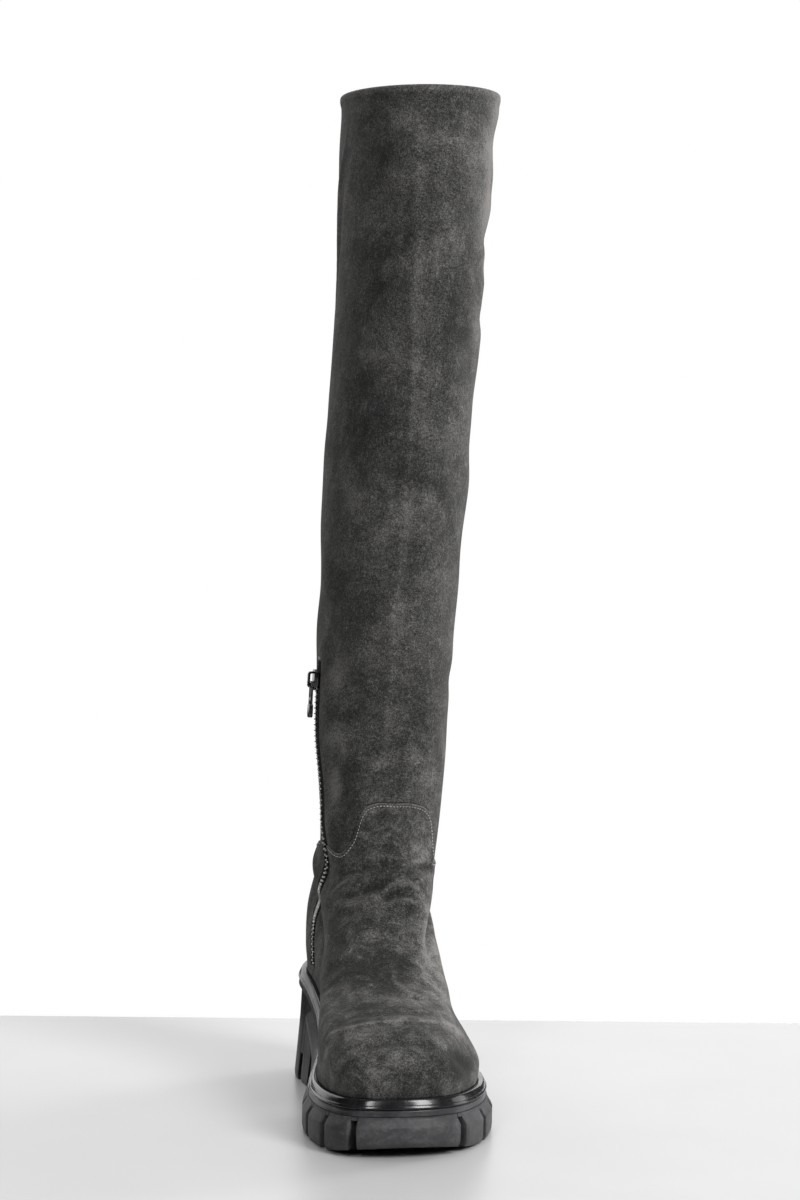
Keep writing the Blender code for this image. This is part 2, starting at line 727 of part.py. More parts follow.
def slider_frame():
    """Matrix of the slider: X towards the toe, Y up the zip, Z off the leg."""
    v = np.array([zip_wall(SLIDER_Z)])
    t = zip_angle(v)
    point, around, _, normal = surface_frame(t, v)
    out = Vector(normal[0])
    up = Vector(base_surface(zip_angle(v + 4.0), v + 4.0)[0] - base_surface(zip_angle(v - 4.0), v - 4.0)[0])
    up = (up - out * up.dot(out)).normalized()
    toe = up.cross(out).normalized()
    frame = Matrix((toe, up, out)).transposed().to_4x4()
    frame.translation = Vector(point[0]) * MM
    return frame


def extrude(profile, low, high, place):
    """Solid from a profile polygon: place turns profile (a, b) and depth c into a point."""
    form = bmesh.new()
    count = len(profile)
    verts = add_verts(form, [place(a, b, c) for c in (low, high) for a, b in profile])
    form.faces.new(verts[:count])
    form.faces.new(verts[count:])
    for i in range(count):
        j = (i + 1) % count
        form.faces.new([verts[i], verts[j], verts[count + j], verts[count + i]])
    return form


# Slider sizes off the form's face
PLATE_LOW = 1.0
PLATE_HIGH = 2.5
PLATE_OUTLINE = ((-4.2, 5.0), (-3.0, 6.2), (3.0, 6.2), (4.2, 5.0), (3.4, -5.4), (2.6, -6.2), (-2.6, -6.2), (-3.4, -5.4))
BRIDGE_HALF = 1.4
BRIDGE_PROFILE = (
    (-5.0, 2.2), (-4.7, 5.2), (-3.4, 6.0), (3.4, 6.0), (4.7, 5.2), (5.0, 2.2),
    (3.7, 2.2), (3.4, 4.6), (-3.4, 4.6), (-3.7, 2.2),
)
PIVOT_UP = -1.5
PIVOT_OUT = 3.55
TAB_HALF_THICK = 0.65
TAB_HALF_WIDTH = 3.2
TAB_EYE_HALF = 1.85
TAB_EYE_LENGTH = 9.2
TAB_GRIP_LENGTH = 7.5
TAB_GRIP_HALF_THICK = 1.15


def build_slider(frame, material):
    """Slider plate over the chain with the bridge that carries the tab."""
    plate = add_object("zip_slider", extrude(PLATE_OUTLINE, PLATE_LOW, PLATE_HIGH, lambda a, b, c: (a, b, c)), material)
    bridge_form = extrude(BRIDGE_PROFILE, -BRIDGE_HALF, BRIDGE_HALF, lambda a, b, c: (c, a, b))
    apply_boolean(plate, add_object("bridge", bridge_form, material), "UNION")
    plate.data.transform(frame)
    return plate


def build_tab(frame, material):
    """Pull tab on its cross bar, hanging down the zip, with its origin on the bar."""
    outside = (
        (-TAB_HALF_WIDTH, TAB_HALF_THICK), (TAB_HALF_WIDTH, TAB_HALF_THICK),
        (TAB_HALF_WIDTH, 2.0 - TAB_LENGTH), (TAB_HALF_WIDTH - 1.2, -TAB_LENGTH),
        (1.2 - TAB_HALF_WIDTH, -TAB_LENGTH), (-TAB_HALF_WIDTH, 2.0 - TAB_LENGTH),
    )
    eye = (
        (-TAB_EYE_HALF, -TAB_HALF_THICK), (TAB_EYE_HALF, -TAB_HALF_THICK),
        (TAB_EYE_HALF, -TAB_EYE_LENGTH), (-TAB_EYE_HALF, -TAB_EYE_LENGTH),
    )
    grip = (
        (-TAB_HALF_WIDTH + 0.4, TAB_GRIP_LENGTH - TAB_LENGTH), (TAB_HALF_WIDTH - 0.4, TAB_GRIP_LENGTH - TAB_LENGTH),
        (TAB_HALF_WIDTH - 0.4, 2.2 - TAB_LENGTH), (TAB_HALF_WIDTH - 1.5, 0.4 - TAB_LENGTH),
        (1.5 - TAB_HALF_WIDTH, 0.4 - TAB_LENGTH), (0.4 - TAB_HALF_WIDTH, 2.2 - TAB_LENGTH),
    )

    def flat(a, b, c):
        return (a, b, c)

    tab = add_object("zip_pull_tab", extrude(outside, -TAB_HALF_THICK, TAB_HALF_THICK, flat), material)
    hole = add_object("tab_eye", extrude(eye, -2.0, 2.0, flat), material)
    apply_boolean(tab, hole, "DIFFERENCE")
    pad = add_object("tab_grip", extrude(grip, -TAB_GRIP_HALF_THICK, TAB_GRIP_HALF_THICK, flat), material)
    apply_boolean(tab, pad, "UNION")
    pivot = frame @ Matrix.Translation((0.0, PIVOT_UP * MM, PIVOT_OUT * MM))
    turn = pivot.copy()
    turn.translation = (0.0, 0.0, 0.0)
    tab.data.transform(turn)
    tab.location = pivot.translation
    return tab


def build():
    for old in list(bpy.data.objects):
        bpy.data.objects.remove(old)
    suede = new_material("suede", (0.060, 0.057, 0.055), 0.95)
    leg_suede = new_material("leg_suede", (0.062, 0.059, 0.057), 0.95)
    lug_rubber = new_material("lug_rubber", (0.050, 0.050, 0.052), 0.60)
    rand_rubber = new_material("rand_rubber", (0.020, 0.020, 0.021), 0.25)
    heel_rubber = new_material("heel_rubber", (0.018, 0.018, 0.019), 0.28)
    board = new_material("board", (0.040, 0.038, 0.036), 0.80)
    tape_cloth = new_material("tape_cloth", (0.012, 0.012, 0.012), 0.90)
    teeth_metal = new_material("teeth_metal", (0.300, 0.300, 0.300), 0.35, 1.0)
    dark_nickel = new_material("dark_nickel", (0.090, 0.090, 0.095), 0.25, 1.0)
    tab_nickel = new_material("tab_nickel", (0.090, 0.090, 0.095), 0.25, 1.0)

    build_midsole(rand_rubber)
    build_insole(board)
    build_tread(lug_rubber)
    build_heel(heel_rubber)
    build_upper(suede)
    build_shaft(leg_suede)

    foot = SLOT_FOOT + GAP
    top = SLOT_TOP - GAP
    build_strip("zip_tape", np.linspace(foot, top, 30), SLOT_HALF - 2.5 * GAP, -1.7, -0.9, tape_cloth)
    build_strip("zip_chain", np.linspace(foot + 1.0, top - 8.0, 30), CHAIN_HALF, -0.6, 0.7, teeth_metal)
    frame = slider_frame()
    build_slider(frame, dark_nickel)
    build_tab(frame, tab_nickel)


build()
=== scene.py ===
"""Looks of the tall suede boot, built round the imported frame.

Metres, +Z up, toe towards -Y, outer side of the foot towards +X.
Tables of the form are in millimetres and are turned into metres by MM.
"""
import math
from collections import namedtuple

import bmesh
import bpy
import numpy as np
from mathutils import Matrix, Vector


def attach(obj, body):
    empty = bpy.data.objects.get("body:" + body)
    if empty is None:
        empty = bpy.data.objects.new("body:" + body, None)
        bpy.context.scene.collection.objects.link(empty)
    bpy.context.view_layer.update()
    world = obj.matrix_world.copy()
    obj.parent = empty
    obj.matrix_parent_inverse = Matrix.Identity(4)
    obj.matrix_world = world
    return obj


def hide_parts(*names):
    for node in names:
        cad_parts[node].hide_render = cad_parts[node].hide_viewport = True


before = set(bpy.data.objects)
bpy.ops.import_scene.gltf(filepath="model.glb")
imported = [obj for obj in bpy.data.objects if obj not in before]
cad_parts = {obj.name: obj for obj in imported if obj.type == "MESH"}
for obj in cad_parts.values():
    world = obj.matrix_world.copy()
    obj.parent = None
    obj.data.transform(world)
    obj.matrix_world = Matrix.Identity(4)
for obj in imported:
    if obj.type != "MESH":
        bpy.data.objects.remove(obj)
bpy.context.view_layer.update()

MM = 0.001
TAU = 2.0 * math.pi


def table(row_type, *rows):
    """Rows of plain values under the named columns of their type."""
    return tuple(row_type(*row) for row in rows)


def mirrored(half):
    """Outline of two like sides, from the side over zero."""
    return [(-a, b) for a, b in reversed(half)] + list(half)


# Sizes of the solids that this scene dresses
GAP = 0.3
UPPER_OUT = 0.5
UPPER_IN = -1.7
SHAFT_OUT = -0.5
SHAFT_IN = -2.3
MIDSOLE_DEPTH = 8.8
BREAST_Y = -38.0
TREAD_FLAT_FRONT = -180.0
TREAD_FLAT_BACK = -118.0
TOE_SPRING = 7.2
TOE_SPRING_REACH = 41.0
WAIST_RISE = 38.0
WAIST_POWER = 1.5
HEEL_FLARE = 4.0
HEEL_BREAST_SLOPE = 4.0
NOTCH_ARCS = (-112.0, -85.0, -57.5, -31.0, 35.5, 66.0, 95.0, 122.0)
NOTCH_WIDTH = 5.8
NOTCH_TAPER = 1.6
NOTCH_DEPTH = 9.0
NOTCH_TOP_MARGIN = 1.8
GROOVE_WIDTH = 5.0
GROOVE_DEPTH = 5.0
HEEL_NOTCH_ANGLES = (128.0, 152.0, 180.0, 208.0, 232.0)
HEEL_NOTCH_HEIGHT = 18.0
SEAM_LOW = 136.0
SLOT_HALF = 4.6
SLOT_FOOT = 7.0
SLOT_TOP_Z = 251.0
SLIDER_Z = 240.0
TAB_LENGTH = 21.0

Station = namedtuple("Station", "y inner outer")
OUTLINE = table(
    Station, (-212, -12, -12), (-205, -37, 12), (-190, -44, 24.5), (-170, -47.5, 35), (-146, -47.5, 41.8),
    (-120, -42.5, 43.2), (-90, -33.5, 40), (-60, -28, 35), (-30, -28, 31.5), (0, -29, 30), (20, -22, 22.5),
    (31, 0, 0),
)

Height = namedtuple("Height", "y z")
SOLE_TOP = table(
    Height, (-212, 31.2), (-190, 29.6), (-150, 28.6), (-120, 29.2), (-95, 34), (-70, 43.2), (-45, 53.6),
    (-20, 61.3), (5, 65.5), (31, 68),
)

# Closed sections of the last and leg, each from its front point to its back point
WAIST_COS = 0.0
COUNTER_COS = -0.85
Ring = namedtuple(
    "Ring",
    "name front_y front_z back_y back_z foot_share inner_scale outer_scale centre inner_half outer_half",
)
RINGS = table(
    Ring,
    ("feather line", -212, 31.2, 31, 68, 1.00, 1.00, 1.00, 0, 40, 40),
    ("side wall", -214.5, 41.5, 33.5, 80, 1.00, 1.03, 1.00, 0, 40, 40),
    ("toe shoulder", -210, 54, 34.5, 92, 0.97, 1.02, 0.88, 0, 38, 36),
    ("toe top", -194, 63, 33.5, 104, 0.90, 0.96, 0.78, 1, 36, 33),
    ("vamp", -165, 70, 31.5, 115, 0.75, 0.90, 0.78, 2, 34, 34),
    ("low instep", -136, 80, 28.5, 126, 0.55, 0.82, 0.76, 3, 33, 32),
    ("instep", -110, 97, 25.5, 137, 0.28, 0.78, 0.72, 4.5, 33.5, 31),
    ("throat", -89, 120, 23, 149, 0.00, 0.75, 0.70, 6.5, 34.5, 32),
    ("front of ankle", -74, 146, 22.5, 163, 0.00, 0.70, 0.70, 8.5, 35.2, 34),
    ("ankle", -65.5, 172, 24, 181, 0.00, 0.70, 0.70, 9.5, 36.3, 36),
    ("low leg", -62, 204, 27.5, 207, 0.00, 0.70, 0.70, 9.7, 39, 39),
    ("under calf", -64, 249, 35, 249, 0.00, 0.70, 0.70, 12, 40.3, 40.3),
    ("calf", -70, 331, 48, 331, 0.00, 0.70, 0.70, 16, 42.1, 42.1),
    ("over calf", -75, 423, 54, 423, 0.00, 0.70, 0.70, 21.5, 42.3, 42.6),
    ("knee", -79, 514, 58, 514, 0.00, 0.70, 0.70, 26.3, 43.9, 43.9),
    ("collar", -82, 585, 61, 586.5, 0.00, 0.70, 0.70, 29, 45.8, 46.4),
)

# Soft dents and bulges at the ankle: place, reach round and up, and move towards +X
Dent = namedtuple("Dent", "name degrees wall reach_degrees reach_up sideways")
DENTS = table(
    Dent,
    ("inner ankle pinch", -76, 117, 24, 15, 3.8),
    ("inner quarter bulge", -124, 102, 27, 18, -3.4),
    ("outer ankle crease", 66, 101, 24, 10, -1.6),
)

# Raised vamp flap: height over the low seam by angle from the front line, inner side under zero
FlapEdge = namedtuple("FlapEdge", "degrees rise")
FLAP = table(
    FlapEdge, (-180, 0), (-140, 2), (-110, 8), (-90, 9), (-74, 7.5), (-64, 5.6), (-57, 5.9), (-51, 8),
    (-46, 11.4), (-40, 16.8), (-34.5, 26), (-29, 32), (-20, 35.3), (0, 36), (22, 35), (36, 31.5), (41, 28.5),
    (46, 21.5), (51, 10), (56, 3), (66, 0), (180, 0),
)

# Line of the zip on the inner side, from its foot to its top
ZIP_PATH = table(
    Height, (-18, 55), (-17, 74), (-15, 88), (-17, 100), (-25, 111), (-35, 122), (-38, 133), (-33, 144),
    (-26.5, 156), (-23.5, 172), (-19, 205), (-16.5, 240), (-16, 270),
)

# Edge profiles: how far outside the feather line, and how deep
Profile = namedtuple("Profile", "name out drop")
RAND_EDGE = table(
    Profile,
    ("seat", 0.9, 0),
    ("bead inside", 1.5, -0.1),
    ("bead crown", 2.9, -0.05),
    ("bead brow", 3.75, 0.7),
    ("bead face", 4.75, 2.75),
    ("bead crease", 4.87, 3.2),
    ("second brow", 5.12, 3.55),
    ("bead nose", 5.55, 4.55),
    ("bead under", 4.95, 5.1),
    ("groove", 4.1, 5.5),
    ("band top", 4.8, 6.1),
    ("band middle", 5, 7.4),
    ("band foot", 5.3, MIDSOLE_DEPTH),
)

# Edge profiles between a top and a bottom surface, share 0 at the top
Wall = namedtuple("Wall", "name out share")
TREAD_EDGE = table(
    Wall,
    ("ledge", 5.7, 0.00),
    ("upright", 5.85, 0.08),
    ("shoulder", 6.1, 0.10),
    ("bevel", 8.65, 0.32),
    ("bevel round", 8.83, 0.345),
    ("side", 8.8, 0.84),
    ("side round", 8.6, 0.90),
    ("foot round", 8, 0.965),
    ("foot", 7.4, 1.00),
)
HEEL_EDGE = table(
    Wall,
    ("top", 3, 0.00),
    ("top round", 3.3, 0.02),
    ("waist", 2.8, 0.35),
    ("side", 3, 0.70),
    ("low", 3.2, 0.94),
    ("foot round", 2.8, 0.985),
    ("foot", 2.2, 1.00),
)

# Creases of the suede: path of (degrees round, millimetres up the wall), depth over zero is a trough
# and under zero a ridge, width is its half breadth, rub is the pale thin line along it: worn nap with a painted
# highlight
Fold = namedtuple("Fold", "name path depth width rub")
FOLDS = table(
    Fold,
    ("ankle scratch", ((-70, 110), (-63, 115), (-54, 120), (-45, 124)), -0.5, 1.6, 0.30),
    ("ankle slanted trough", ((-60, 120), (-50, 126), (-40, 130)), 0.8, 2.8, 0),
    ("inner ankle trough", ((-54, 112), (-42, 117), (-31, 121), (-22, 124), (-11, 125)), 1.9, 2.7, 0),
    ("outer ankle trough", ((-12, 119), (-2, 121.5), (8, 121.5), (19, 119)), 2.1, 2.4, 0),
    ("ankle cross ridge", ((-19, 119), (-12, 122.5), (-4, 126), (6, 126.5), (17, 124.5), (25, 120)),
     -1.2, 1.9, 0.12),
    ("under ankle ridge", ((-56, 108), (-38, 113), (-20, 117), (0, 118), (20, 117), (30, 114)), -1, 2.6, 0.06),
    ("upper ankle trough", ((8, 130), (21, 131), (36, 131), (50, 128.5), (64, 127)), 1.7, 2.4, 0),
    ("mid ankle ridge", ((-15, 129), (0, 129.5), (13, 128.5)), -0.6, 2.2, 0.05),
    ("upper ankle ridge", ((-28, 137), (-14, 138), (0, 137), (14, 135.5), (29, 134.5), (45, 133)),
     -0.9, 2.6, 0.06),
    ("ankle inner trough", ((-42, 127), (-32, 131), (-22, 134), (-12, 137)), 1.1, 2.8, 0),
    ("outer crease", ((98, 104), (78, 103), (62, 101), (50, 99), (42, 95), (39, 88)), 2.3, 3, 0),
    ("beside outer crease", ((40, 106), (34, 100), (32, 92), (34, 84)), -1.1, 3.6, 0.10),
    ("instep ridge", ((2, 86), (2, 76), (12, 68), (32, 61)), -0.8, 1.9, 0.22),
    ("under instep ridge", ((4, 66), (16, 64), (32, 60)), 0.8, 2.2, 0),
    ("toe break", ((-48, 25), (-44, 32), (-35, 36.5), (-22, 41), (-9, 45), (4, 46), (20, 44), (38, 38.5),
                   (48, 31), (53, 22)), -0.8, 1.6, 0.22),
    ("behind toe break", ((-40, 38), (-26, 47), (-10, 51), (6, 52), (24, 49), (40, 43)), 0.6, 2.6, 0),
    ("toe puff", ((-27, 21), (-16, 28), (-8, 30.5), (0, 30.5), (8, 28.5), (18, 25), (28, 19)), 0.9, 2.8, 0),
    ("outer toe dent", ((27, 20), (34, 15), (41, 10)), 1.1, 3.4, 0),
    ("toe scratch", ((-42, 14), (-40, 10), (-38, 7)), -0.3, 1.2, 0.22),
    ("inner vamp fold", ((-62, 58), (-48, 68), (-32, 76)), 0.8, 4.5, 0),
    ("inner vamp ridge", ((-66, 72), (-52, 82), (-36, 88)), -0.7, 4.5, 0),
    ("outer vamp fold", ((30, 84), (38, 76), (48, 70)), 0.7, 3.2, 0),
    ("outer vamp ridge", ((24, 80), (33, 72), (44, 63)), -0.7, 2.6, 0.10),
    ("outer quarter fold", ((70, 58), (88, 66), (110, 70)), 0.8, 5, 0),
    ("back ankle fold", ((140, 128), (165, 124), (195, 124), (222, 128)), 1, 4.5, 0),
    ("back ankle ridge", ((138, 140), (165, 136), (195, 136), (224, 140)), -0.7, 4.5, 0),
    ("press line", ((-18, 566), (-15, 509), (-12, 452), (-8, 404), (-6, 370), (-7, 300), (-8, 221), (-10, 182)),
     -0.9, 3.2, 0.07),
    ("beside press line", ((-4, 420), (-5, 392), (-4, 360), (-5, 330)), 0.6, 2.2, 0),
    ("inner leg fold", ((-84, 550), (-94, 520), (-102, 490), (-106, 455)), -0.9, 3, 0),
    ("beside inner leg fold", ((-76, 545), (-86, 515), (-94, 485), (-99, 452)), 0.7, 4, 0),
    ("under collar", ((40, 552), (70, 548), (100, 547), (130, 550)), 1.1, 11, 0),
    ("collar wrinkle", ((-44, 534), (-34, 531), (-26, 525)), 0.7, 2.6, 0),
    ("collar side bump", ((48, 512), (66, 508), (84, 510)), -0.8, 6, 0),
    ("collar side dent", ((50, 494), (68, 490), (88, 493)), 0.9, 5, 0),
    ("leg side bump", ((52, 468), (68, 464), (86, 468)), -0.7, 6, 0),
    ("leg side dent", ((52, 448), (70, 444), (90, 448)), 0.8, 5, 0),
    ("low leg inner dent", ((-70, 214), (-52, 208), (-34, 210)), 0.8, 6, 0),
    ("low leg inner dent above", ((-74, 300), (-58, 292), (-44, 296)), 0.7, 8, 0),
    ("low leg outer dent", ((52, 236), (72, 230), (96, 236)), 0.8, 7, 0),
    ("calf outer dent", ((58, 372), (78, 366), (100, 372)), 0.8, 9, 0),
    ("above flap", ((-22, 178), (0, 181), (24, 177)), 0.6, 4, 0),
)

# Long soft waves of the leather: turns round the leg, waves up the wall, height and start
Wave = namedtuple("Wave", "turns length height start")
WAVES = table(
    Wave, (2, 210, 0.40, 0.3), (3, 132, 0.34, 1.7), (4, 91, 0.28, 4.1), (5, 74, 0.24, 2.6), (7, 58, 0.16, 5.2),
    (6, -83, 0.20, 0.9), (9, -47, 0.12, 3.3),
)

# Patches of lighter and darker nap tone, some of them painted light and shade as marked below: place, reach round
# and up in millimetres, tone
Patch = namedtuple("Patch", "degrees wall round up tone")
NAP_AND_PAINTED_LIGHT_PATCHES = table(
    Patch, (-22, 552, 14, 9, 0.12), (-40, 538, 18, 6, -0.12), (-28, 522, 13, 12, 0.12), (35, 548, 18, 12, 0.07),
    # Painted highlight: the light patches from 58 to 82 degrees, 400 to 566 mm up, brighten the outer edge of the
    # leg (this line and the next)
    (62, 520, 12, 14, -0.10), (60, 566, 12, 14, 0.34), (58, 540, 13, 16, 0.50), (62, 510, 12, 16, 0.34),
    (70, 478, 12, 14, 0.34), (72, 443, 17, 14, 0.36), (82, 402, 16, 20, 0.28), (-50, 500, 10, 14, 0.11),
    (48, 500, 10, 16, 0.14), (-38, 490, 14, 9, -0.11), (-12, 470, 6, 24, 0.12), (-28, 462, 14, 14, -0.09),
    (30, 440, 16, 16, -0.11), (20, 418, 14, 12, -0.09), (-22, 400, 12, 9, 0.09), (-30, 376, 18, 14, -0.07),
    (2, 396, 4, 22, 0.10), (55, 424, 8, 26, 0.12), (-52, 340, 8, 26, 0.12), (-40, 356, 16, 10, -0.07),
    (4, 330, 14, 14, 0.07), (-20, 318, 10, 8, 0.08), (-46, 306, 16, 6, 0.10), (-40, 276, 18, 6, -0.09),
    (-44, 246, 16, 5, 0.08), (30, 300, 12, 30, 0.06), (10, 232, 18, 12, -0.07), (-58, 233, 8, 16, 0.22),
    (-54, 196, 9, 7, 0.22), (-60, 168, 8, 11, 0.30), (-14, 185, 9, 3, 0.20), (-36, 196, 10, 14, -0.10),
    (-40, 178, 10, 8, -0.08), (8, 152, 14, 7, 0.08), (-14, 158, 8, 5, -0.07), (26, 140, 12, 4, 0.10),
    # Painted light: the light patches from 25 to 62 degrees, 44 to 113 mm up, brighten the outer side of the vamp
    # (here and in the next four lines)
    (-46, 122, 16, 14, -0.06), (-18, 101, 9, 9, 0.06), (25, 106, 8, 8, 0.17), (46, 113, 13, 10, 0.22),
    (34, 97, 10, 10, 0.14), (46, 90, 10, 12, 0.13), (46, 76, 8, 10, 0.11), (46, 44, 9, 12, 0.12),
    # Painted shade: the dark patches at -120 and -114 degrees darken the rear quarter behind the zip (this line and
    # the next)
    (8, 79, 6, 6, -0.10), (-30, 88, 10, 9, 0.09), (-12, 58, 12, 6, -0.13), (-120, 104, 20, 26, -0.34),
    (-114, 62, 14, 20, -0.28), (10, 102, 8, 6, 0.07), (10, 94, 7, 6, -0.09), (36, 86, 8, 12, 0.19),
    (52, 68, 9, 12, 0.17), (62, 84, 16, 16, 0.20), (58, 52, 14, 12, 0.16), (0, 532, 44, 34, 0.05),
    (-44, 72, 20, 14, -0.07), (-36, 78, 12, 10, 0.04), (-50, 66, 12, 10, -0.09), (0, 78, 16, 8, -0.08),
    (-22, 92, 26, 22, -0.14), (-19, 38, 13, 4, 0.15), (44, 32, 8, 7, 0.12), (0, 38, 26, 4, -0.13),
    (-20, 27, 10, 5, -0.09), (-9, 15, 5, 3, 0.17), (33, 16, 10, 6, -0.62), (20, 11, 8, 5, -0.12),
    (44, 9, 5, 4, 0.20), (43, 21, 6, 5, 0.10), (-46, 14, 6, 8, 0.08), (12, 24, 14, 6, 0.05),
)


def smooth_surface(knots, values, where):
    """Cubic through values[knot, point, axis], read at one place for each point."""
    knots = np.asarray(knots, float)
    spans = np.diff(knots)
    chords = (values[1:] - values[:-1]) / spans[:, None, None]
    share = (spans[:-1] / (spans[:-1] + spans[1:]))[:, None, None]
    slopes = np.empty_like(values)
    slopes[1:-1] = chords[:-1] * (1.0 - share) + chords[1:] * share
    slopes[0] = chords[0]
    slopes[-1] = chords[-1]
    low = np.clip(np.searchsorted(knots, where) - 1, 0, len(spans) - 1)
    point = np.arange(len(where))
    span = spans[low][:, None]
    f = ((where - knots[low]) / spans[low])[:, None]
    start = values[low, point] * (1.0 + 2.0 * f) + slopes[low, point] * span * f
    end = values[low + 1, point] * (3.0 - 2.0 * f) - slopes[low + 1, point] * span * (1.0 - f)
    return start * (1.0 - f) ** 2 + end * f ** 2


def smooth_curve(knots, values, where):
    """Cubic through single values."""
    where = np.atleast_1d(np.asarray(where, float))
    values = np.asarray(values, float)[:, None, None]
    spread = np.repeat(values, len(where), axis=1)
    return smooth_surface(knots, spread, where)[:, 0]


def read_table(rows, key, value, where):
    """Smooth reading of one column of a table against another."""
    return smooth_curve([getattr(r, key) for r in rows], [getattr(r, value) for r in rows], where)


def fade(value, start, end):
    """Smooth step from zero at start to one at end."""
    share = np.clip((value - start) / (end - start), 0.0, 1.0)
    return share * share * (3.0 - 2.0 * share)


def unit(vectors):
    """Vectors brought to length one."""
    return vectors / np.linalg.norm(vectors, axis=-1, keepdims=True)


def running(steps):
    """Distance from the start after each step."""
    return np.concatenate([[0.0], np.cumsum(steps)])


def turn_from(t, angle):
    """Angles t counted from one angle, between minus and plus half a turn."""
    return np.mod(t - angle + math.pi, TAU) - math.pi


def feather_y(t):
    """Place along the foot of outline angle t: 0 at the toe, pi at the heel."""
    return OUTLINE[0].y + (OUTLINE[-1].y - OUTLINE[0].y) * (1.0 - np.cos(t)) / 2.0


def angle_at(y):
    """Outer-side angle at which the feather line reaches y."""
    length = OUTLINE[-1].y - OUTLINE[0].y
    return math.acos(1.0 - 2.0 * (y - OUTLINE[0].y) / length)


def feather_x(t):
    """Sideways place of the feather line; t runs from the toe by the outer side."""
    angles = [angle_at(s.y) for s in OUTLINE]
    inner = [s.inner for s in OUTLINE]
    outer = [s.outer for s in OUTLINE]
    knots = [-a for a in angles[2:0:-1]] + angles
    knots += [TAU - a for a in angles[-2::-1]] + [TAU + a for a in angles[1:3]]
    values = inner[2:0:-1] + outer + inner[-2::-1] + outer[1:3]
    return smooth_curve(knots, values, np.mod(t, TAU))


def sole_top(y):
    """Height of the midsole's top along the foot."""
    y = np.clip(y, SOLE_TOP[0].y, SOLE_TOP[-1].y)
    return read_table(SOLE_TOP, "y", "z", y)


def outline(t, out):
    """Plan of the feather line moved outwards by out."""
    step = 1e-3
    dx = feather_x(t + step) - feather_x(t - step)
    dy = feather_y(t + step) - feather_y(t - step)
    length = np.hypot(dx, dy)
    return feather_x(t) + out * dy / length, feather_y(t) - out * dx / length


def tread_bottom(y):
    """Ground side of the tread: toe spring, flat ball, arched waist."""
    toe = np.clip((TREAD_FLAT_FRONT - y) / TOE_SPRING_REACH, 0.0, None)
    waist = np.clip((y - TREAD_FLAT_BACK) / (BREAST_Y - TREAD_FLAT_BACK), 0.0, None)
    return TOE_SPRING * toe ** 2 + WAIST_RISE * waist ** WAIST_POWER


def ring_points(t):
    """All sections at angles t."""
    along = (1.0 - np.cos(t)) / 2.0
    plan = feather_x(t)
    middle = (plan + feather_x(-t)) / 2.0
    lift = (sole_top(feather_y(t)) - RINGS[0].front_z) / (RINGS[0].back_z - RINGS[0].front_z)
    outer_side = np.sin(t) > 0.0
    fore = fade(np.cos(t), COUNTER_COS, WAIST_COS)
    points = []
    for ring in RINGS:
        y = ring.front_y + (ring.back_y - ring.front_y) * along
        height = ring.foot_share * lift + (1.0 - ring.foot_share) * along
        z = ring.front_z + (ring.back_z - ring.front_z) * height
        scale = 1.0 - (1.0 - np.where(outer_side, ring.outer_scale, ring.inner_scale)) * fore
        half = np.where(outer_side, ring.outer_half, ring.inner_half)
        foot = middle + (plan - middle) * scale
        leg = ring.centre + half * np.sin(t)
        x = ring.foot_share * foot + (1.0 - ring.foot_share) * leg
        points.append(np.stack([x, y, z], axis=-1))
    return np.array(points)


# How finely the form is read for its tables
KNOT_ANGLES = 64
HEIGHT_STEPS = 300
SEAM_STEPS = 241
ZIP_STEPS = 240
ZIP_SEARCH_ANGLES = 80
ZIP_SEARCH_DEGREES = (200.0, 300.0)


def ring_knots():
    """Mean distance of each section from the feather line, along the wall."""
    points = ring_points(np.linspace(0.0, TAU, KNOT_ANGLES, endpoint=False))
    return running(np.linalg.norm(np.diff(points, axis=0), axis=2).mean(axis=1))


KNOTS = ring_knots()
WALL_TOP = KNOTS[-1]


def dent_shift(t, v):
    """Move towards +X of the dents and bulges at angles t and wall distances v."""
    shift = np.zeros(t.shape)
    for dent in DENTS:
        round_share = turn_from(t, math.radians(dent.degrees)) / math.radians(dent.reach_degrees)
        up_share = (v - dent.wall) / dent.reach_up
        shift += dent.sideways * np.exp(-round_share ** 2 - up_share ** 2)
    return shift


def base_surface(t, v):
    """Middle form of the upper: angle t round, v up the wall."""
    t, v = np.broadcast_arrays(np.asarray(t, float), np.asarray(v, float))
    points = smooth_surface(KNOTS, ring_points(t.ravel()), v.ravel()).reshape(t.shape + (3,))
    points[..., 0] += dent_shift(t, v)
    return points


def surface_frame(t, v):
    """Point, direction round, direction up and outward normal of the form."""
    step_t = 2e-3
    step_v = 0.4
    v_low = np.clip(np.asarray(v, float) - step_v, 0.0, WALL_TOP)
    v_high = np.clip(np.asarray(v, float) + step_v, 0.0, WALL_TOP)
    around = base_surface(np.asarray(t) + step_t, v) - base_surface(np.asarray(t) - step_t, v)
    up = base_surface(t, v_high) - base_surface(t, v_low)
    return base_surface(t, v), around / (2.0 * step_t), up, unit(np.cross(around, up))


def height_to_wall(t, z):
    """Wall distance v at which each angle t reaches its height z."""
    steps = np.linspace(0.0, WALL_TOP, HEIGHT_STEPS)
    heights = base_surface(t[:, None], steps[None, :])[..., 2]
    return np.array([np.interp(goal, row, steps) for goal, row in zip(z, heights)])


def seam_table():
    """Wall distance of the vamp seam for angles round the leg."""
    angles = np.linspace(0.0, TAU, SEAM_STEPS)
    rise = read_table(FLAP, "degrees", "rise", np.degrees(turn_from(angles, 0.0)))
    return angles, height_to_wall(angles, SEAM_LOW + np.clip(rise, 0.0, None))


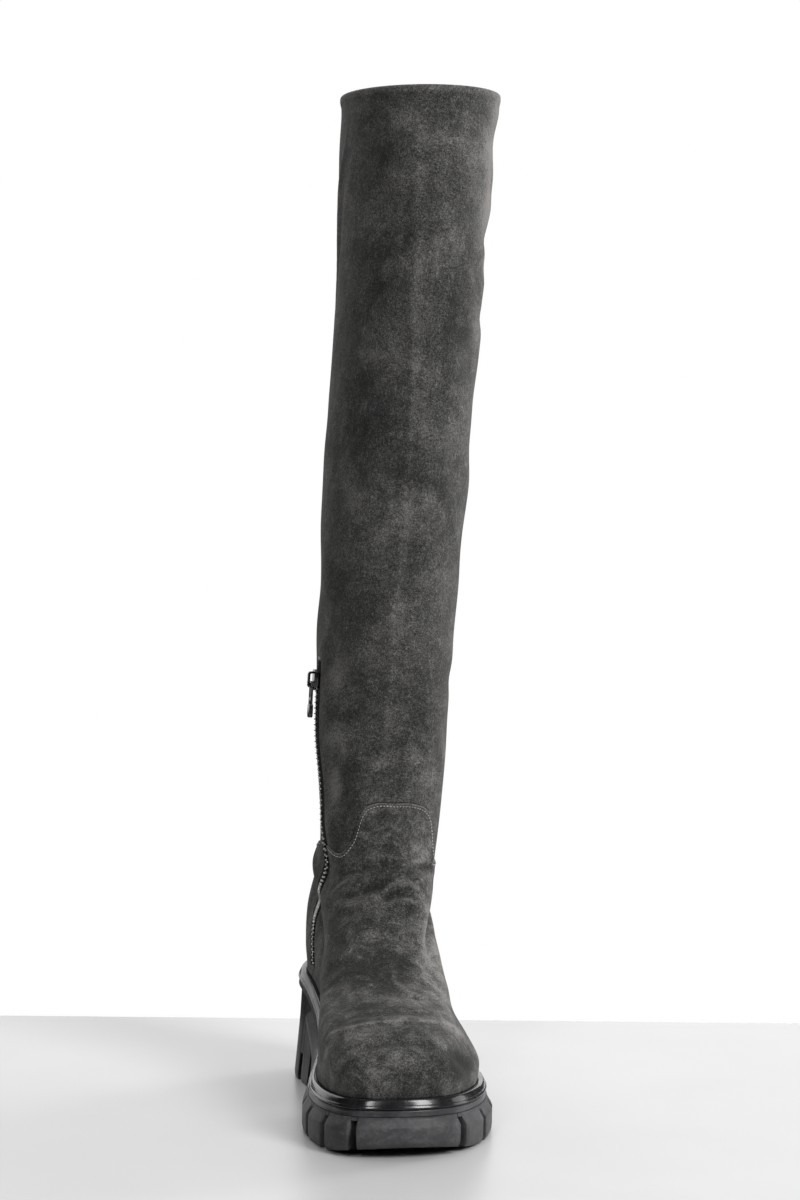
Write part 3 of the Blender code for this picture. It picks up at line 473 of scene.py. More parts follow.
def zip_table():
    """Angle of the zip line, and millimetres for each radian round it, up the wall."""
    steps = np.linspace(0.0, WALL_TOP, ZIP_STEPS)
    angles = np.radians(np.linspace(*ZIP_SEARCH_DEGREES, ZIP_SEARCH_ANGLES))
    points = base_surface(angles[None, :], steps[:, None])
    heights = np.clip(points[..., 2], ZIP_PATH[0].z, ZIP_PATH[-1].z)
    line = read_table(ZIP_PATH, "z", "y", heights.ravel())
    miss = line.reshape(heights.shape) - points[..., 1]
    found = np.array([np.interp(0.0, row, angles) for row in miss])
    _, around, _, _ = surface_frame(found, steps)
    return steps, found, np.linalg.norm(around, axis=-1)


SEAM_ANGLES, SEAM_WALLS = seam_table()
ZIP_WALLS, ZIP_ANGLES, ZIP_SPANS = zip_table()


def seam_wall(t):
    """Wall distance of the vamp seam at angles t."""
    return np.interp(np.mod(t, TAU), SEAM_ANGLES, SEAM_WALLS)


def zip_angle(v):
    return np.interp(v, ZIP_WALLS, ZIP_ANGLES)


def zip_side_angle(v, aside):
    """Angle of a line beside the zip, positive towards the toe."""
    return zip_angle(v) + aside / np.interp(v, ZIP_WALLS, ZIP_SPANS)


def zip_wall(z):
    """Wall distance at which the zip line reaches height z."""
    heights = base_surface(ZIP_ANGLES, ZIP_WALLS)[:, 2]
    return float(np.interp(z, heights, ZIP_WALLS))


def zip_direction(v, reach):
    """Way up the zip line between reach under and reach over v."""
    return base_surface(zip_angle(v + reach), v + reach) - base_surface(zip_angle(v - reach), v - reach)


SLOT_TOP = zip_wall(SLOT_TOP_Z)


def bump(distance, width):
    """Soft hump, one in its middle."""
    return np.exp(-(distance / width) ** 2)


# Folds: steps between two marks, how their ends fade, and the low swell beside each
FOLD_STEPS = 14
FOLD_END = 0.02
FOLD_FADE_POWER = 0.6
FOLD_REACH = 4.0
SWELL_SHARE = 0.35
SWELL_PLACE = 2.0
RUB_WIDTH = 0.9

# Where the suede is held flat: beside the slot, at the sole and at the collar
SLOT_HOLD_UNDER = 4.0
SLOT_HOLD_OVER = 12.0
SLOT_HOLD = (SLOT_HALF + 1.5, SLOT_HALF + 12.0)
SOLE_HOLD = (3.0, 14.0)
COLLAR_HOLD = (0.0, 16.0)

# Painted light and shade of the nap: lighter ridges and darker troughs, a painted highlight along the seam and on
# the collar top, and the mean radius that turns angles into millimetres
MIDDLE_TONE = 0.5
RIDGE_LIGHT_AND_CREASE_SHADE = 0.11
RIDGE_LIMIT = 1.4
SEAM_EDGE_HIGHLIGHT = 0.30
SEAM_HIGHLIGHT_WIDTH = 0.7
COLLAR_TOP_HIGHLIGHT = 0.14
COLLAR_HIGHLIGHT_UNDER = (4.6, 3.0)
PATCH_RADIUS = 46.0


def fold_path(fold):
    """Points along a fold on the form, and how strong the fold is at each."""
    marks = np.asarray(fold.path, float)
    knots = np.arange(len(marks))
    where = np.linspace(0.0, len(marks) - 1.0, FOLD_STEPS * len(marks))
    degrees = smooth_curve(knots, marks[:, 0], where)
    walls = smooth_curve(knots, marks[:, 1], where)
    strength = np.sin(math.pi * np.linspace(FOLD_END, 1.0 - FOLD_END, len(where))) ** FOLD_FADE_POWER
    return base_surface(np.radians(degrees), walls), strength


def fold_relief(points):
    """Height of all folds at points of the form, and the tone of the pale lines along them: worn nap with a painted
    highlight.
    """
    flat = points.reshape(-1, 3)
    relief = np.zeros(len(flat))
    rub = np.zeros(len(flat))
    for fold in FOLDS:
        path, strength = fold_path(fold)
        reach = FOLD_REACH * fold.width
        near = ((flat > path.min(axis=0) - reach) & (flat < path.max(axis=0) + reach)).all(axis=1)
        gap = np.linalg.norm(flat[near][:, None, :] - path[None, :, :], axis=2)
        closest = gap.argmin(axis=1)
        distance = gap[np.arange(len(gap)), closest]
        swell = bump(distance - SWELL_PLACE * fold.width, fold.width)
        shape = bump(distance, fold.width) - SWELL_SHARE * swell
        relief[near] -= fold.depth * strength[closest] * shape
        # Pale line along the fold: worn nap and a painted highlight on the ridge
        rub[near] += fold.rub * strength[closest] * bump(distance, RUB_WIDTH)
    return relief.reshape(points.shape[:-1]), rub.reshape(points.shape[:-1])


def wave_relief(t, v):
    relief = np.zeros(np.shape(t))
    for wave in WAVES:
        relief += wave.height * np.sin(wave.turns * t + TAU * v / wave.length + wave.start)
    return relief


def zip_distance(t, v):
    """Millimetres round the leg from the zip line."""
    return np.abs(turn_from(t, zip_angle(v))) * np.interp(v, ZIP_WALLS, ZIP_SPANS)


def suede_relief(points, t, v):
    """Folds and waves together, held flat at the sole, the collar and beside the zip; and the folds' tone: painted
    shade in troughs, and a painted highlight with worn nap on ridges.
    """
    slot = (v > SLOT_FOOT - SLOT_HOLD_UNDER) & (v < SLOT_TOP + SLOT_HOLD_OVER)
    beside = np.where(slot, fade(zip_distance(t, v), *SLOT_HOLD), 1.0)
    hold = beside * fade(v, *SOLE_HOLD) * fade(WALL_TOP - v, *COLLAR_HOLD)
    folds, rub = fold_relief(points)
    # Fold tone: painted highlight on ridges and painted shade in troughs, plus the pale lines along the folds
    return hold * (folds + wave_relief(t, v)), RIDGE_LIGHT_AND_CREASE_SHADE * np.clip(folds, -RIDGE_LIMIT, RIDGE_LIMIT) + rub


def nap_tone_with_painted_light(t, v, folds):
    """Tone of the nap: ridges lighter with worn nap and a painted highlight, troughs darker with painted shade, a
    painted highlight on the flap edge and the collar top, and the patches of nap tone, some of them painted light
    and shade.
    """
    tone = MIDDLE_TONE + folds
    for patch in NAP_AND_PAINTED_LIGHT_PATCHES:
        aside = PATCH_RADIUS * turn_from(t, math.radians(patch.degrees))
        tone += patch.tone * bump(aside, patch.round) * bump(v - patch.wall, patch.up)
    seam = seam_wall(t)
    # Painted highlight along the raised edge of the flap, just under the seam
    tone += SEAM_EDGE_HIGHLIGHT * bump(np.minimum(v - seam + GAP / 2, 0.0), SEAM_HIGHLIGHT_WIDTH) * (v < seam)
    # Painted highlight on the top of the collar
    highlight_from, highlight_to = (WALL_TOP - under for under in COLLAR_HIGHLIGHT_UNDER)
    return tone + COLLAR_TOP_HIGHLIGHT * fade(v, highlight_from, highlight_to)


# Columns of the suede walls: toe edge of the slot, round the leg, heel edge, then across the slot
EDGE_STEPS = (0.0, 0.15, 0.4, 0.8, 1.5)
ROUND_COLUMNS = 236
SLOT_COLUMNS = 5
GRID_PASSES = 6

# Rounding of cut edges, and the rows of the two walls
CUT_RADIUS = 0.8
SHAFT_CUT_RADIUS = 0.5
CUT_STEEPNESS = 0.96
SLOT_MARGIN = 0.01
FOOT_ROWS = 5
VAMP_ROWS = 128
LOW_LEG_ROWS = 55
HIGH_LEG_ROWS = 111
WALL_SHARP = 62.0


def column_table():
    """Distances beside the zip and share of the way round, for the columns of the suede walls."""
    steps = np.array(EDGE_STEPS)
    last = steps[-1]
    middle = np.linspace(0.0, 1.0, ROUND_COLUMNS + 2)[1:-1]
    across = 1.0 + np.linspace(0.0, 1.0, SLOT_COLUMNS + 2)[1:-1]
    flat = np.zeros(len(steps))
    round_off = np.full(ROUND_COLUMNS, last)
    slot = np.zeros(SLOT_COLUMNS)
    toe = SLOT_HALF + np.concatenate([steps, round_off, flat, slot])
    heel = -SLOT_HALF - np.concatenate([flat, round_off, steps[::-1], slot])
    share = np.concatenate([np.zeros(len(steps)), middle, np.ones(len(steps)), across])
    return toe, heel, share


TOE_ASIDE, HEEL_ASIDE, COLUMN_SHARE = column_table()
MAIN_COLUMNS = ROUND_COLUMNS + 2 * len(EDGE_STEPS)


def column_angles(v):
    """Angles of the wall's columns, for wall distances v of each row and column."""
    toe = zip_side_angle(v, TOE_ASIDE)
    heel = zip_side_angle(v, HEEL_ASIDE) + TAU
    main = toe + (heel - toe) * np.minimum(COLUMN_SHARE, 1.0)
    return main + (toe + TAU - heel) * np.clip(COLUMN_SHARE - 1.0, 0.0, 1.0)


def wall_grid(walls_at, rows):
    """Angles and wall distances of a grid whose rows follow walls_at(angles)."""
    t = np.full((rows, len(COLUMN_SHARE)), math.pi)
    for _ in range(GRID_PASSES):
        v = walls_at(t)
        t = column_angles(v)
    return t, v


def edge_drop(distance, radius):
    """How far a cut edge rounds away at a distance from it."""
    inside = np.clip(radius - distance, 0.0, radius)
    return radius - np.sqrt(radius ** 2 - CUT_STEEPNESS * inside ** 2)


def slot_drop(t, v):
    """Rounding of the suede along the zip's slot."""
    drop = edge_drop(np.clip(zip_distance(t, v) - SLOT_HALF, 0.0, None), CUT_RADIUS)
    return np.where((v > SLOT_FOOT - SLOT_MARGIN) & (v < SLOT_TOP + SLOT_MARGIN), drop, 0.0)


def wall_faces(cells):
    """Quads outside, inside and round the borders of a wall that has the cells marked true."""
    rows, columns = cells.shape
    count = (rows + 1) * columns
    r, c = np.nonzero(cells)
    after = (c + 1) % columns
    a = r * columns + c
    b = r * columns + after
    d = a + columns
    e = b + columns
    outside = np.stack([a, b, e, d], axis=1)
    inside = outside[:, ::-1] + count
    stacked = np.zeros((rows + 2, columns), bool)
    stacked[1:-1] = cells
    beside = (
        (~stacked[r, c], a, b),
        (~cells[r, after], b, e),
        (~stacked[r + 2, c], e, d),
        (~cells[r, (c - 1) % columns], d, a),
    )
    borders = [np.stack([q[m], p[m], p[m] + count, q[m] + count], axis=1) for m, p, q in beside]
    return outside, inside, np.concatenate(borders)


def add_object(name, data):
    """New object in the scene."""
    made = bpy.data.objects.new(name, data)
    bpy.context.scene.collection.objects.link(made)
    return made


def turn_outwards(piece):
    """Faces of a closed piece all turned outwards."""
    form = bmesh.new()
    form.from_mesh(piece.data)
    bmesh.ops.recalc_face_normals(form, faces=form.faces)
    form.to_mesh(piece.data)
    form.free()


def add_piece(name, points, faces, materials, nodes=(), body="boot", face_slots=None, sharp=None, turn=False):
    """Piece from points in millimetres, riding on a body, in the place of some nodes."""
    mesh = bpy.data.meshes.new(name)
    points = np.asarray(points, float).reshape(-1, 3)
    mesh.from_pydata((points * MM).tolist(), [], [list(map(int, f)) for f in faces])
    for material in materials:
        mesh.materials.append(material)
    if face_slots is not None:
        mesh.polygons.foreach_set("material_index", np.asarray(face_slots, np.int32))
    mesh.polygons.foreach_set("use_smooth", np.ones(len(mesh.polygons), bool))
    if sharp is not None:
        mesh.set_sharp_from_angle(angle=math.radians(sharp))
    mesh.update()
    piece = add_object(name, mesh)
    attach(piece, body)
    if nodes:
        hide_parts(*nodes)
    if turn:
        turn_outwards(piece)
    return piece


def add_wall(name, walls_at, slot_rows, out, inside, cut_radius, materials, node):
    """Hollow suede wall: rows along walls_at(angles), open at the zip in slot_rows, with its nap tone, which holds
    painted light and shade.
    """
    t, v = wall_grid(walls_at, len(out))
    point, _, _, normal = surface_frame(t, v)
    relief, folds = suede_relief(point, t, v)
    cut = edge_drop(np.abs(v - seam_wall(t)) - GAP / 2, cut_radius)
    outer = point + normal * (out + relief - cut - slot_drop(t, v))[..., None]
    inner = point + normal * (inside + relief)[..., None]
    cells = np.ones((t.shape[0] - 1, t.shape[1]), bool)
    cells[slot_rows, MAIN_COLUMNS - 1:] = False
    outer_faces, inner_faces, borders = wall_faces(cells)
    used, faces = np.unique(np.concatenate([outer_faces, borders, inner_faces]), return_inverse=True)
    faces = faces.reshape(-1, 4)
    points = np.concatenate([outer.reshape(-1, 3), inner.reshape(-1, 3)])[used]
    lining = np.arange(len(faces)) >= len(outer_faces) + len(borders)
    piece = add_piece(name, points, faces, materials, (node,), face_slots=lining, sharp=WALL_SHARP)
    # Nap tone per point, with painted shade in troughs and on the rear quarter, and painted highlights on ridges,
    # the flap edge, the collar top and the outer side
    nap = piece.data.attributes.new("nap", "FLOAT", "POINT")
    tone = np.tile(nap_tone_with_painted_light(t, v, folds).ravel(), 2)[used]
    nap.data.foreach_set("value", tone.astype(np.float32))
    return piece


def in_stage(counts, stage, values, after):
    """Values of one stage of rows, with zero in the rows before it."""
    before = np.zeros(sum(counts[:stage]))
    past = np.full(sum(counts[stage + 1:]), after)
    return np.concatenate([before, values, past])[:, None]


def build_upper(materials):
    """Vamp, quarters and counter in one wall, open at the seam, the zip and underneath."""
    foot = np.linspace(0.0, 1.0, FOOT_ROWS, endpoint=False)
    rise = np.linspace(0.0, 1.0, VAMP_ROWS)
    last = EDGE_STEPS[-1]
    edge = last - np.array(EDGE_STEPS[-2::-1])
    counts = (len(foot), len(rise), len(edge))
    low_share = in_stage(counts, 0, foot, 1.0)
    rise_share = in_stage(counts, 1, rise, 1.0)
    nearer = in_stage(counts, 2, edge, 0.0)

    def walls_at(t):
        room = seam_wall(t) - GAP / 2 - last - SLOT_FOOT
        return GAP + (SLOT_FOOT - GAP) * low_share + room * rise_share + nearer

    out = np.full((sum(counts), 1), UPPER_OUT)
    inside = np.full((sum(counts), 1), UPPER_IN)
    slot_rows = slice(counts[0], None)
    return add_wall("vamp_and_quarters", walls_at, slot_rows, out, inside, CUT_RADIUS, materials, "upper")


# Turned edge of the collar: distance under the top, then steps off the outer and inner face
CollarRow = namedtuple("CollarRow", "under outer inner")
COLLAR = table(
    CollarRow, (7.5, 0.00, 0.00), (6.4, 0.08, 0.00), (5.5, 0.25, 0.00), (4.8, 0.42, 0.00), (4, 0.58, 0.00),
    (3.2, 0.68, 0.00), (2.4, 0.72, 0.00), (1.4, 0.66, 0.00), (0.7, 0.45, -0.05), (0.25, 0.10, 0.10),
    (0, -0.35, 0.40),
)


def build_shaft(materials):
    """Leg tube from the vamp seam to the turned edge of the collar, with the zip's slot."""
    edge = np.array(EDGE_STEPS)
    low = np.linspace(0.0, 1.0, LOW_LEG_ROWS + 1)[1:]
    high = np.linspace(0.0, 1.0, HIGH_LEG_ROWS + 1)[1:]
    collar_room = COLLAR[0].under
    collar = np.array([collar_room - row.under for row in COLLAR[1:]])
    counts = (len(edge), len(low), len(high), len(collar))
    from_seam = in_stage(counts, 0, edge, edge[-1])
    low_share = in_stage(counts, 1, low, 1.0)
    high_share = in_stage(counts, 2, high, 1.0)
    over = in_stage(counts, 3, collar, 0.0)

    def walls_at(t):
        seam = seam_wall(t) + GAP / 2 + from_seam
        leg = WALL_TOP - collar_room - SLOT_TOP
        return seam + (SLOT_TOP - seam) * low_share + leg * high_share + over

    out = np.full((sum(counts), 1), SHAFT_OUT)
    inside = np.full((sum(counts), 1), SHAFT_IN)
    out[-len(COLLAR):, 0] += [row.outer for row in COLLAR]
    inside[-len(COLLAR):, 0] += [row.inner for row in COLLAR]
    slot_rows = slice(counts[0] + counts[1] - 1)
    return add_wall("leg_shaft", walls_at, slot_rows, out, inside, SHAFT_CUT_RADIUS, materials, "shaft")


# Thread: sizes of one stitch and where its row runs
STITCH_PITCH = 1.95
STITCH_LENGTH = 1.25
STITCH_RADIUS = 0.29
STITCH_INSET = 1.9
STITCH_SIDES = 6
STITCH_SHARES = (0.0, 0.12, 0.34, 0.66, 0.88, 1.0)
STITCH_GIRTH = (0.25, 0.8, 1.0, 1.0, 0.8, 0.25)
STITCH_ARCH = 0.22
STITCH_SINK = 0.08
STITCH_OFF = 0.05
STITCH_LINE_STEPS = 2400
ROW_END = 1.0
ROW_CLEAR_OF_SLOT = 2.0
TACK_LIFTS = (1.2, 1.75, 2.3)
TACK_HALF = 3.4


def stitch_mesh(starts, ends, normals):
    """Joined little threads from each start to its end, arched off the surface."""
    points = []
    faces = []
    turns = np.linspace(0.0, TAU, STITCH_SIDES, endpoint=False)
    for start, end, normal in zip(starts, ends, normals):
        side = np.cross(normal, unit(end - start))
        first = len(points)
        for share, girth in zip(STITCH_SHARES, STITCH_GIRTH):
            lift = STITCH_ARCH * math.sin(math.pi * share) - STITCH_SINK
            middle = start + (end - start) * share + normal * lift
            for turn in turns:
                off = side * math.cos(turn) + normal * math.sin(turn)
                points.append(middle + STITCH_RADIUS * girth * off)
        for ring in range(len(STITCH_SHARES) - 1):
            for k in range(STITCH_SIDES):
                a = first + ring * STITCH_SIDES + k
                b = first + ring * STITCH_SIDES + (k + 1) % STITCH_SIDES
                faces.append((a, a + STITCH_SIDES, b + STITCH_SIDES, b))
        last = first + (len(STITCH_SHARES) - 1) * STITCH_SIDES
        faces.append(tuple(range(first, first + STITCH_SIDES)))
        faces.append(tuple(range(last + STITCH_SIDES - 1, last - 1, -1)))
    return np.array(points), faces


def relief_at(t, v):
    point, _, _, normal = surface_frame(t, v)
    relief, _ = suede_relief(point, t, v)
    return point, normal, relief


def stitch_row(t, v, out):
    """Starts, ends and normals of stitches along a line of angles and wall distances."""
    point, normal, relief = relief_at(t, v)
    line = point + normal * (out + relief)[:, None]
    arcs = running(np.linalg.norm(np.diff(line, axis=0), axis=1))
    begin = np.arange(ROW_END, arcs[-1] - STITCH_LENGTH - ROW_END, STITCH_PITCH)

    def read(values, at):
        return np.stack([np.interp(at, arcs, values[:, axis]) for axis in range(3)], axis=1)

    return read(line, begin), read(line, begin + STITCH_LENGTH), read(normal, begin + STITCH_LENGTH / 2)


def seam_stitches(material):
    """One row of thread along the raised edge of the vamp."""
    clear = SLOT_HALF + ROW_CLEAR_OF_SLOT
    start = float(zip_side_angle(SEAM_LOW, clear))
    end = float(zip_side_angle(SEAM_LOW, -clear)) + TAU
    t = np.linspace(start, end, STITCH_LINE_STEPS)
    step = 2e-3
    ahead = base_surface(t + step, seam_wall(t + step)) - base_surface(t - step, seam_wall(t - step))
    _, around, up, normal = surface_frame(t, seam_wall(t))
    inward = unit(np.cross(ahead, normal))
    around_length = np.linalg.norm(around, axis=1)
    aside = (inward * around).sum(axis=1) / around_length
    upward = (inward * unit(up)).sum(axis=1)
    t_in = t + STITCH_INSET * aside / around_length
    v_in = seam_wall(t) + STITCH_INSET * upward
    points, faces = stitch_mesh(*stitch_row(t_in, v_in, UPPER_OUT + STITCH_OFF))
    return add_piece("flap_stitching", points, faces, [material])


def bar_tack(material):
    """Short bar of thread across the top end of the zip's slot."""
    threads = []
    for lift in TACK_LIFTS:
        v = np.full(2, SLOT_TOP + lift)
        t = zip_side_angle(v, np.array([-TACK_HALF, TACK_HALF]))
        point, normal, relief = relief_at(t, v)
        line = point + normal * (SHAFT_OUT + relief + STITCH_OFF)[:, None]
        threads.append((line[0], line[1], normal.mean(axis=0)))
    points, faces = stitch_mesh(*zip(*threads))
    return add_piece("zip_bar_tack", points, faces, [material])


def loop_faces(count, rows, closed):
    """Quads of a side wall whose columns have rows points each."""
    faces = []
    last = count if closed else count - 1
    for column in range(last):
        a = column * rows
        b = (column + 1) % count * rows
        for row in range(rows - 1):
            faces.append((a + row, a + row + 1, b + row + 1, b + row))
    return faces


def ladder_faces(count, rows, row, closed, flip):
    """Faces across a flat end, each between a column and its opposite."""
    faces = []
    last = count if closed else count - 1
    for column in range(last // 2):
        rung = [column, column + 1, last - column - 1, last - column]
        rung = [c % count * rows + row for c in rung]
        rung = list(dict.fromkeys(rung))
        faces.append(tuple(reversed(rung)) if flip else tuple(rung))
    return faces


def loft_faces(count, rows, closed):
    """Quads of a side wall and the faces of its two flat ends."""
    top = ladder_faces(count, rows, 0, closed, False)
    foot = ladder_faces(count, rows, rows - 1, closed, True)
    return loop_faces(count, rows, closed) + top + foot


# Rand: steps round and between two points of its profile, and the first step of the satin band
RAND_COLUMNS = 320
RAND_STEPS = 5
BAND_START = 43
RAND_SHARP = 50.0


def build_rand(materials):
    """Platform plate with its glossy bead and the satin band under it."""
    t = np.linspace(-math.pi, math.pi, RAND_COLUMNS, endpoint=False)
    top = sole_top(feather_y(t))
    knots = np.arange(len(RAND_EDGE))
    where = np.linspace(0.0, knots[-1], RAND_STEPS * knots[-1] + 1)
    outs = smooth_curve(knots, [p.out for p in RAND_EDGE], where)
    drops = smooth_curve(knots, [p.drop for p in RAND_EDGE], where)
    rows = []
    for out, drop in zip(outs, drops):
        x, y = outline(t, out)
        rows.append(np.stack([x, y, top - drop], axis=-1))
    points = np.stack(rows, axis=1)
    count, depth = points.shape[:2]
    faces = loft_faces(count, depth, True)
    slots = np.zeros(len(faces), int)
    slots[:count * (depth - 1)] = np.tile(np.arange(depth - 1) >= BAND_START, count)
    slots[-(count // 2):] = 1
    return add_piece("rand", points, faces, materials, ("midsole",),
                     face_slots=slots, sharp=RAND_SHARP, turn=True)


# Columns on one side of a notch, from the block inwards: distance beyond its edge, rounding, in the notch
NotchColumn = namedtuple("NotchColumn", "beyond rounding inside")
NOTCH_SIDE = table(
    NotchColumn, (0.8, 0.0, False), (0.35, 0.1, False), (0.1, 0.3, False), (0.0, 0.55, False), (-0.12, 0.0, True),
)
BLOCK_COLUMNS = 9


def notch_columns(arc):
    """Columns across one notch: its first side, its middle and its second side."""
    half = NOTCH_WIDTH / 2
    first = [(arc - half - c.beyond, NOTCH_TAPER / 2, c.rounding, c.inside) for c in NOTCH_SIDE]
    second = [(arc + half + c.beyond, -NOTCH_TAPER / 2, c.rounding, c.inside) for c in reversed(NOTCH_SIDE)]
    return first + [(arc, 0.0, 0.0, True)] + second


def block_columns(low, high):
    return [(arc, 0.0, 0.0, False) for arc in np.linspace(low, high, BLOCK_COLUMNS + 2)[1:-1]]


def lug_columns(notches, edge_arcs):
    """Nominal arc, lean, rounding and notch mark of each column along a lugged edge."""
    start, end = edge_arcs[1][[0, -1]]
    reach = NOTCH_WIDTH / 2 + NOTCH_SIDE[0].beyond
    columns = [(start, 0.0, 0.0, False)]
    before = start
    for arc in notches:
        columns += block_columns(before, arc - reach) + notch_columns(arc)
        before = arc + reach
    columns += block_columns(before, end) + [(end, 0.0, 0.0, False)]
    return [np.array(column) for column in zip(*columns)]


# Height of the step at a notch's top, as a share of the wall, and steps along an edge
NOTCH_STEP = 0.012
ARC_STEPS = 1601


def lugged_wall(edge, plan, heights, edge_arcs, columns, notch_share, depth):
    """Points of a notched edge: plan(angle, out, share) and heights(angle, y, share)."""
    angles, arcs = edge_arcs
    nominal, leans, rounding, marks = columns
    shares = np.array([w.share for w in edge])
    outs = np.array([w.out for w in edge])
    rows = []
    row_shares = np.append(shares, [notch_share, notch_share + NOTCH_STEP])
    for share in np.sort(row_shares):
        below = share > notch_share + NOTCH_STEP / 2
        arc = nominal + leans * (1.0 - share)
        t = np.interp(arc, arcs, angles)
        out = np.interp(share, shares, outs) - rounding
        if below:
            out = np.where(marks, out - depth, out)
        x, y = plan(t, out, share)
        rows.append(np.stack([x, y, heights(t, y, share)], axis=-1))
    return np.stack(rows, axis=1)


def arc_table(out, start, end, about):
    """Angles along the outline moved outwards, and the distance of each from one of them."""
    t = np.linspace(start, end, ARC_STEPS)
    x, y = outline(t, out)
    arcs = running(np.hypot(np.diff(x), np.diff(y)))
    return t, arcs - np.interp(about, t, arcs)


def add_lugged(name, points, material, node):
    """Closed solid from the columns of a lugged edge, open at neither end."""
    count, rows = points.shape[:2]
    faces = loft_faces(count, rows, False)
    last = (count - 1) * rows
    faces += [(row, row + 1, last + row + 1, last + row) for row in range(rows - 1)]
    return add_piece(name, points, faces, [material], (node,), turn=True)


# Grooves underneath: how far their cutters reach below the floor, and where they run
GROOVE_UNDER = 2.0
LONG_GROOVES_X = (-26.0, 16.0)
LONG_GROOVE_MIDDLE = -152.0
LONG_GROOVE_LENGTH = 84.0
CROSS_GROOVES_Y = (-186.0, -163.0, -140.0, -117.0)
CROSS_GROOVE_MIDDLE = -5.0
CROSS_GROOVE_LENGTH = 42.0
HEEL_GROOVES_Y = (-14.0, 8.0)
HEEL_GROOVE_LENGTH = 36.0
TREAD_SHARP = 32.0
HEEL_SHARP = 40.0

# Mean depth of the tread and height of the heel, and the plan lines along which notches are measured
TREAD_MEAN_DEPTH = 17.0
TREAD_SIDE_OUT = 8.8
HEEL_MEAN_HEIGHT = 57.0
HEEL_SIDE_OUT = 3.2
HEEL_HALF_WIDTH = 28.0
HEEL_NOTCH_DEPTH = 7.5


def cut_boxes(piece, boxes, sharp):
    """Cut grooves, given as centre, size along X, size along Y and height, into a piece."""
    form = bmesh.new()
    for x, y, size_x, size_y, height in boxes:
        place = Matrix.Translation(Vector((x, y, height / 2 - GROOVE_UNDER / 2)) * MM)
        size = Matrix.Diagonal((size_x * MM, size_y * MM, (height + GROOVE_UNDER) * MM, 1.0))
        bmesh.ops.create_cube(form, size=1.0, matrix=place @ size)
    mesh = bpy.data.meshes.new("groove_tool")
    form.to_mesh(mesh)
    form.free()
    tool = add_object("groove_tool", mesh)
    change = piece.modifiers.new("grooves", "BOOLEAN")
    change.operation = "DIFFERENCE"
    change.solver = "EXACT"
    change.use_self = True
    change.object = tool
    graph = bpy.context.evaluated_depsgraph_get()
    result = bpy.data.meshes.new_from_object(piece.evaluated_get(graph))
    piece.modifiers.clear()
    old, piece.data = piece.data, result
    bpy.data.meshes.remove(old)
    result.name = piece.name
    bpy.data.objects.remove(tool)
    bpy.data.meshes.remove(mesh)
    result.polygons.foreach_set("use_smooth", np.ones(len(result.polygons), bool))
    result.set_sharp_from_angle(angle=math.radians(sharp))


def build_tread(material):
    """Outsole from toe to heel breast, with notched edge lugs and grooves underneath."""
    end = angle_at(BREAST_Y)

    def plan(t, out, share):
        x, y = outline(t, out)
        y = np.minimum(y, BREAST_Y)
        y[[0, -1]] = BREAST_Y
        return x, y

    def heights(t, y, share):
        top = sole_top(feather_y(t)) - MIDSOLE_DEPTH - GAP
        return top + (tread_bottom(y) - top) * share

    edge_arcs = arc_table(TREAD_SIDE_OUT, -end, end, 0.0)
    columns = lug_columns(NOTCH_ARCS, edge_arcs)
    notch_share = NOTCH_TOP_MARGIN / TREAD_MEAN_DEPTH
    points = lugged_wall(TREAD_EDGE, plan, heights, edge_arcs, columns, notch_share, NOTCH_DEPTH)
    piece = add_lugged("lugged_tread", points, material, "outsole")
    long_grooves = [(x, LONG_GROOVE_MIDDLE, GROOVE_WIDTH, LONG_GROOVE_LENGTH, GROOVE_DEPTH) for x in LONG_GROOVES_X]
    cross_grooves = [(CROSS_GROOVE_MIDDLE, y, CROSS_GROOVE_LENGTH, GROOVE_WIDTH, GROOVE_DEPTH)
                     for y in CROSS_GROOVES_Y]
    for grooves in (long_grooves, cross_grooves):
        cut_boxes(piece, grooves, TREAD_SHARP)
    return piece


def build_heel(material):
    """Heel block under the rand, flared to its foot, with lug notches round it."""
    breast = BREAST_Y + GAP
    start = angle_at(breast)
    back = OUTLINE[-1].y

    def plan(t, out, share):
        x, y = outline(t, out)
        y = np.maximum(y, breast)
        y[[0, -1]] = breast
        x = x + HEEL_FLARE * share * np.clip(x / HEEL_HALF_WIDTH, -1.0, 1.0)
        y = y + HEEL_BREAST_SLOPE * share * (back - y) / (back - breast)
        return x, y

    def heights(t, y, share):
        return (sole_top(feather_y(t)) - MIDSOLE_DEPTH - GAP) * (1.0 - share)

    edge_arcs = arc_table(HEEL_SIDE_OUT, start, TAU - start, math.pi)
    columns = lug_columns(np.interp(np.radians(HEEL_NOTCH_ANGLES), *edge_arcs), edge_arcs)
    notch_share = 1.0 - HEEL_NOTCH_HEIGHT / HEEL_MEAN_HEIGHT
    points = lugged_wall(HEEL_EDGE, plan, heights, edge_arcs, columns, notch_share, HEEL_NOTCH_DEPTH)
    piece = add_lugged("heel_block", points, material, "heel")
    grooves = [(0.0, y, HEEL_GROOVE_LENGTH, GROOVE_WIDTH, GROOVE_DEPTH) for y in HEEL_GROOVES_Y]
    cut_boxes(piece, grooves, HEEL_SHARP)
    return piece


# Cross section of the zip's tape from its heel side to its toe side: aside and off the form
TapePoint = namedtuple("TapePoint", "aside out")
TAPE = table(
    TapePoint, *mirrored(((2.2, -0.9), (2.7, -0.72), (3.2, -0.9), (4.15, -0.95), (4.15, -1.7))),
)
TAPE_STEPS = 150
TAPE_SHARP = 50.0


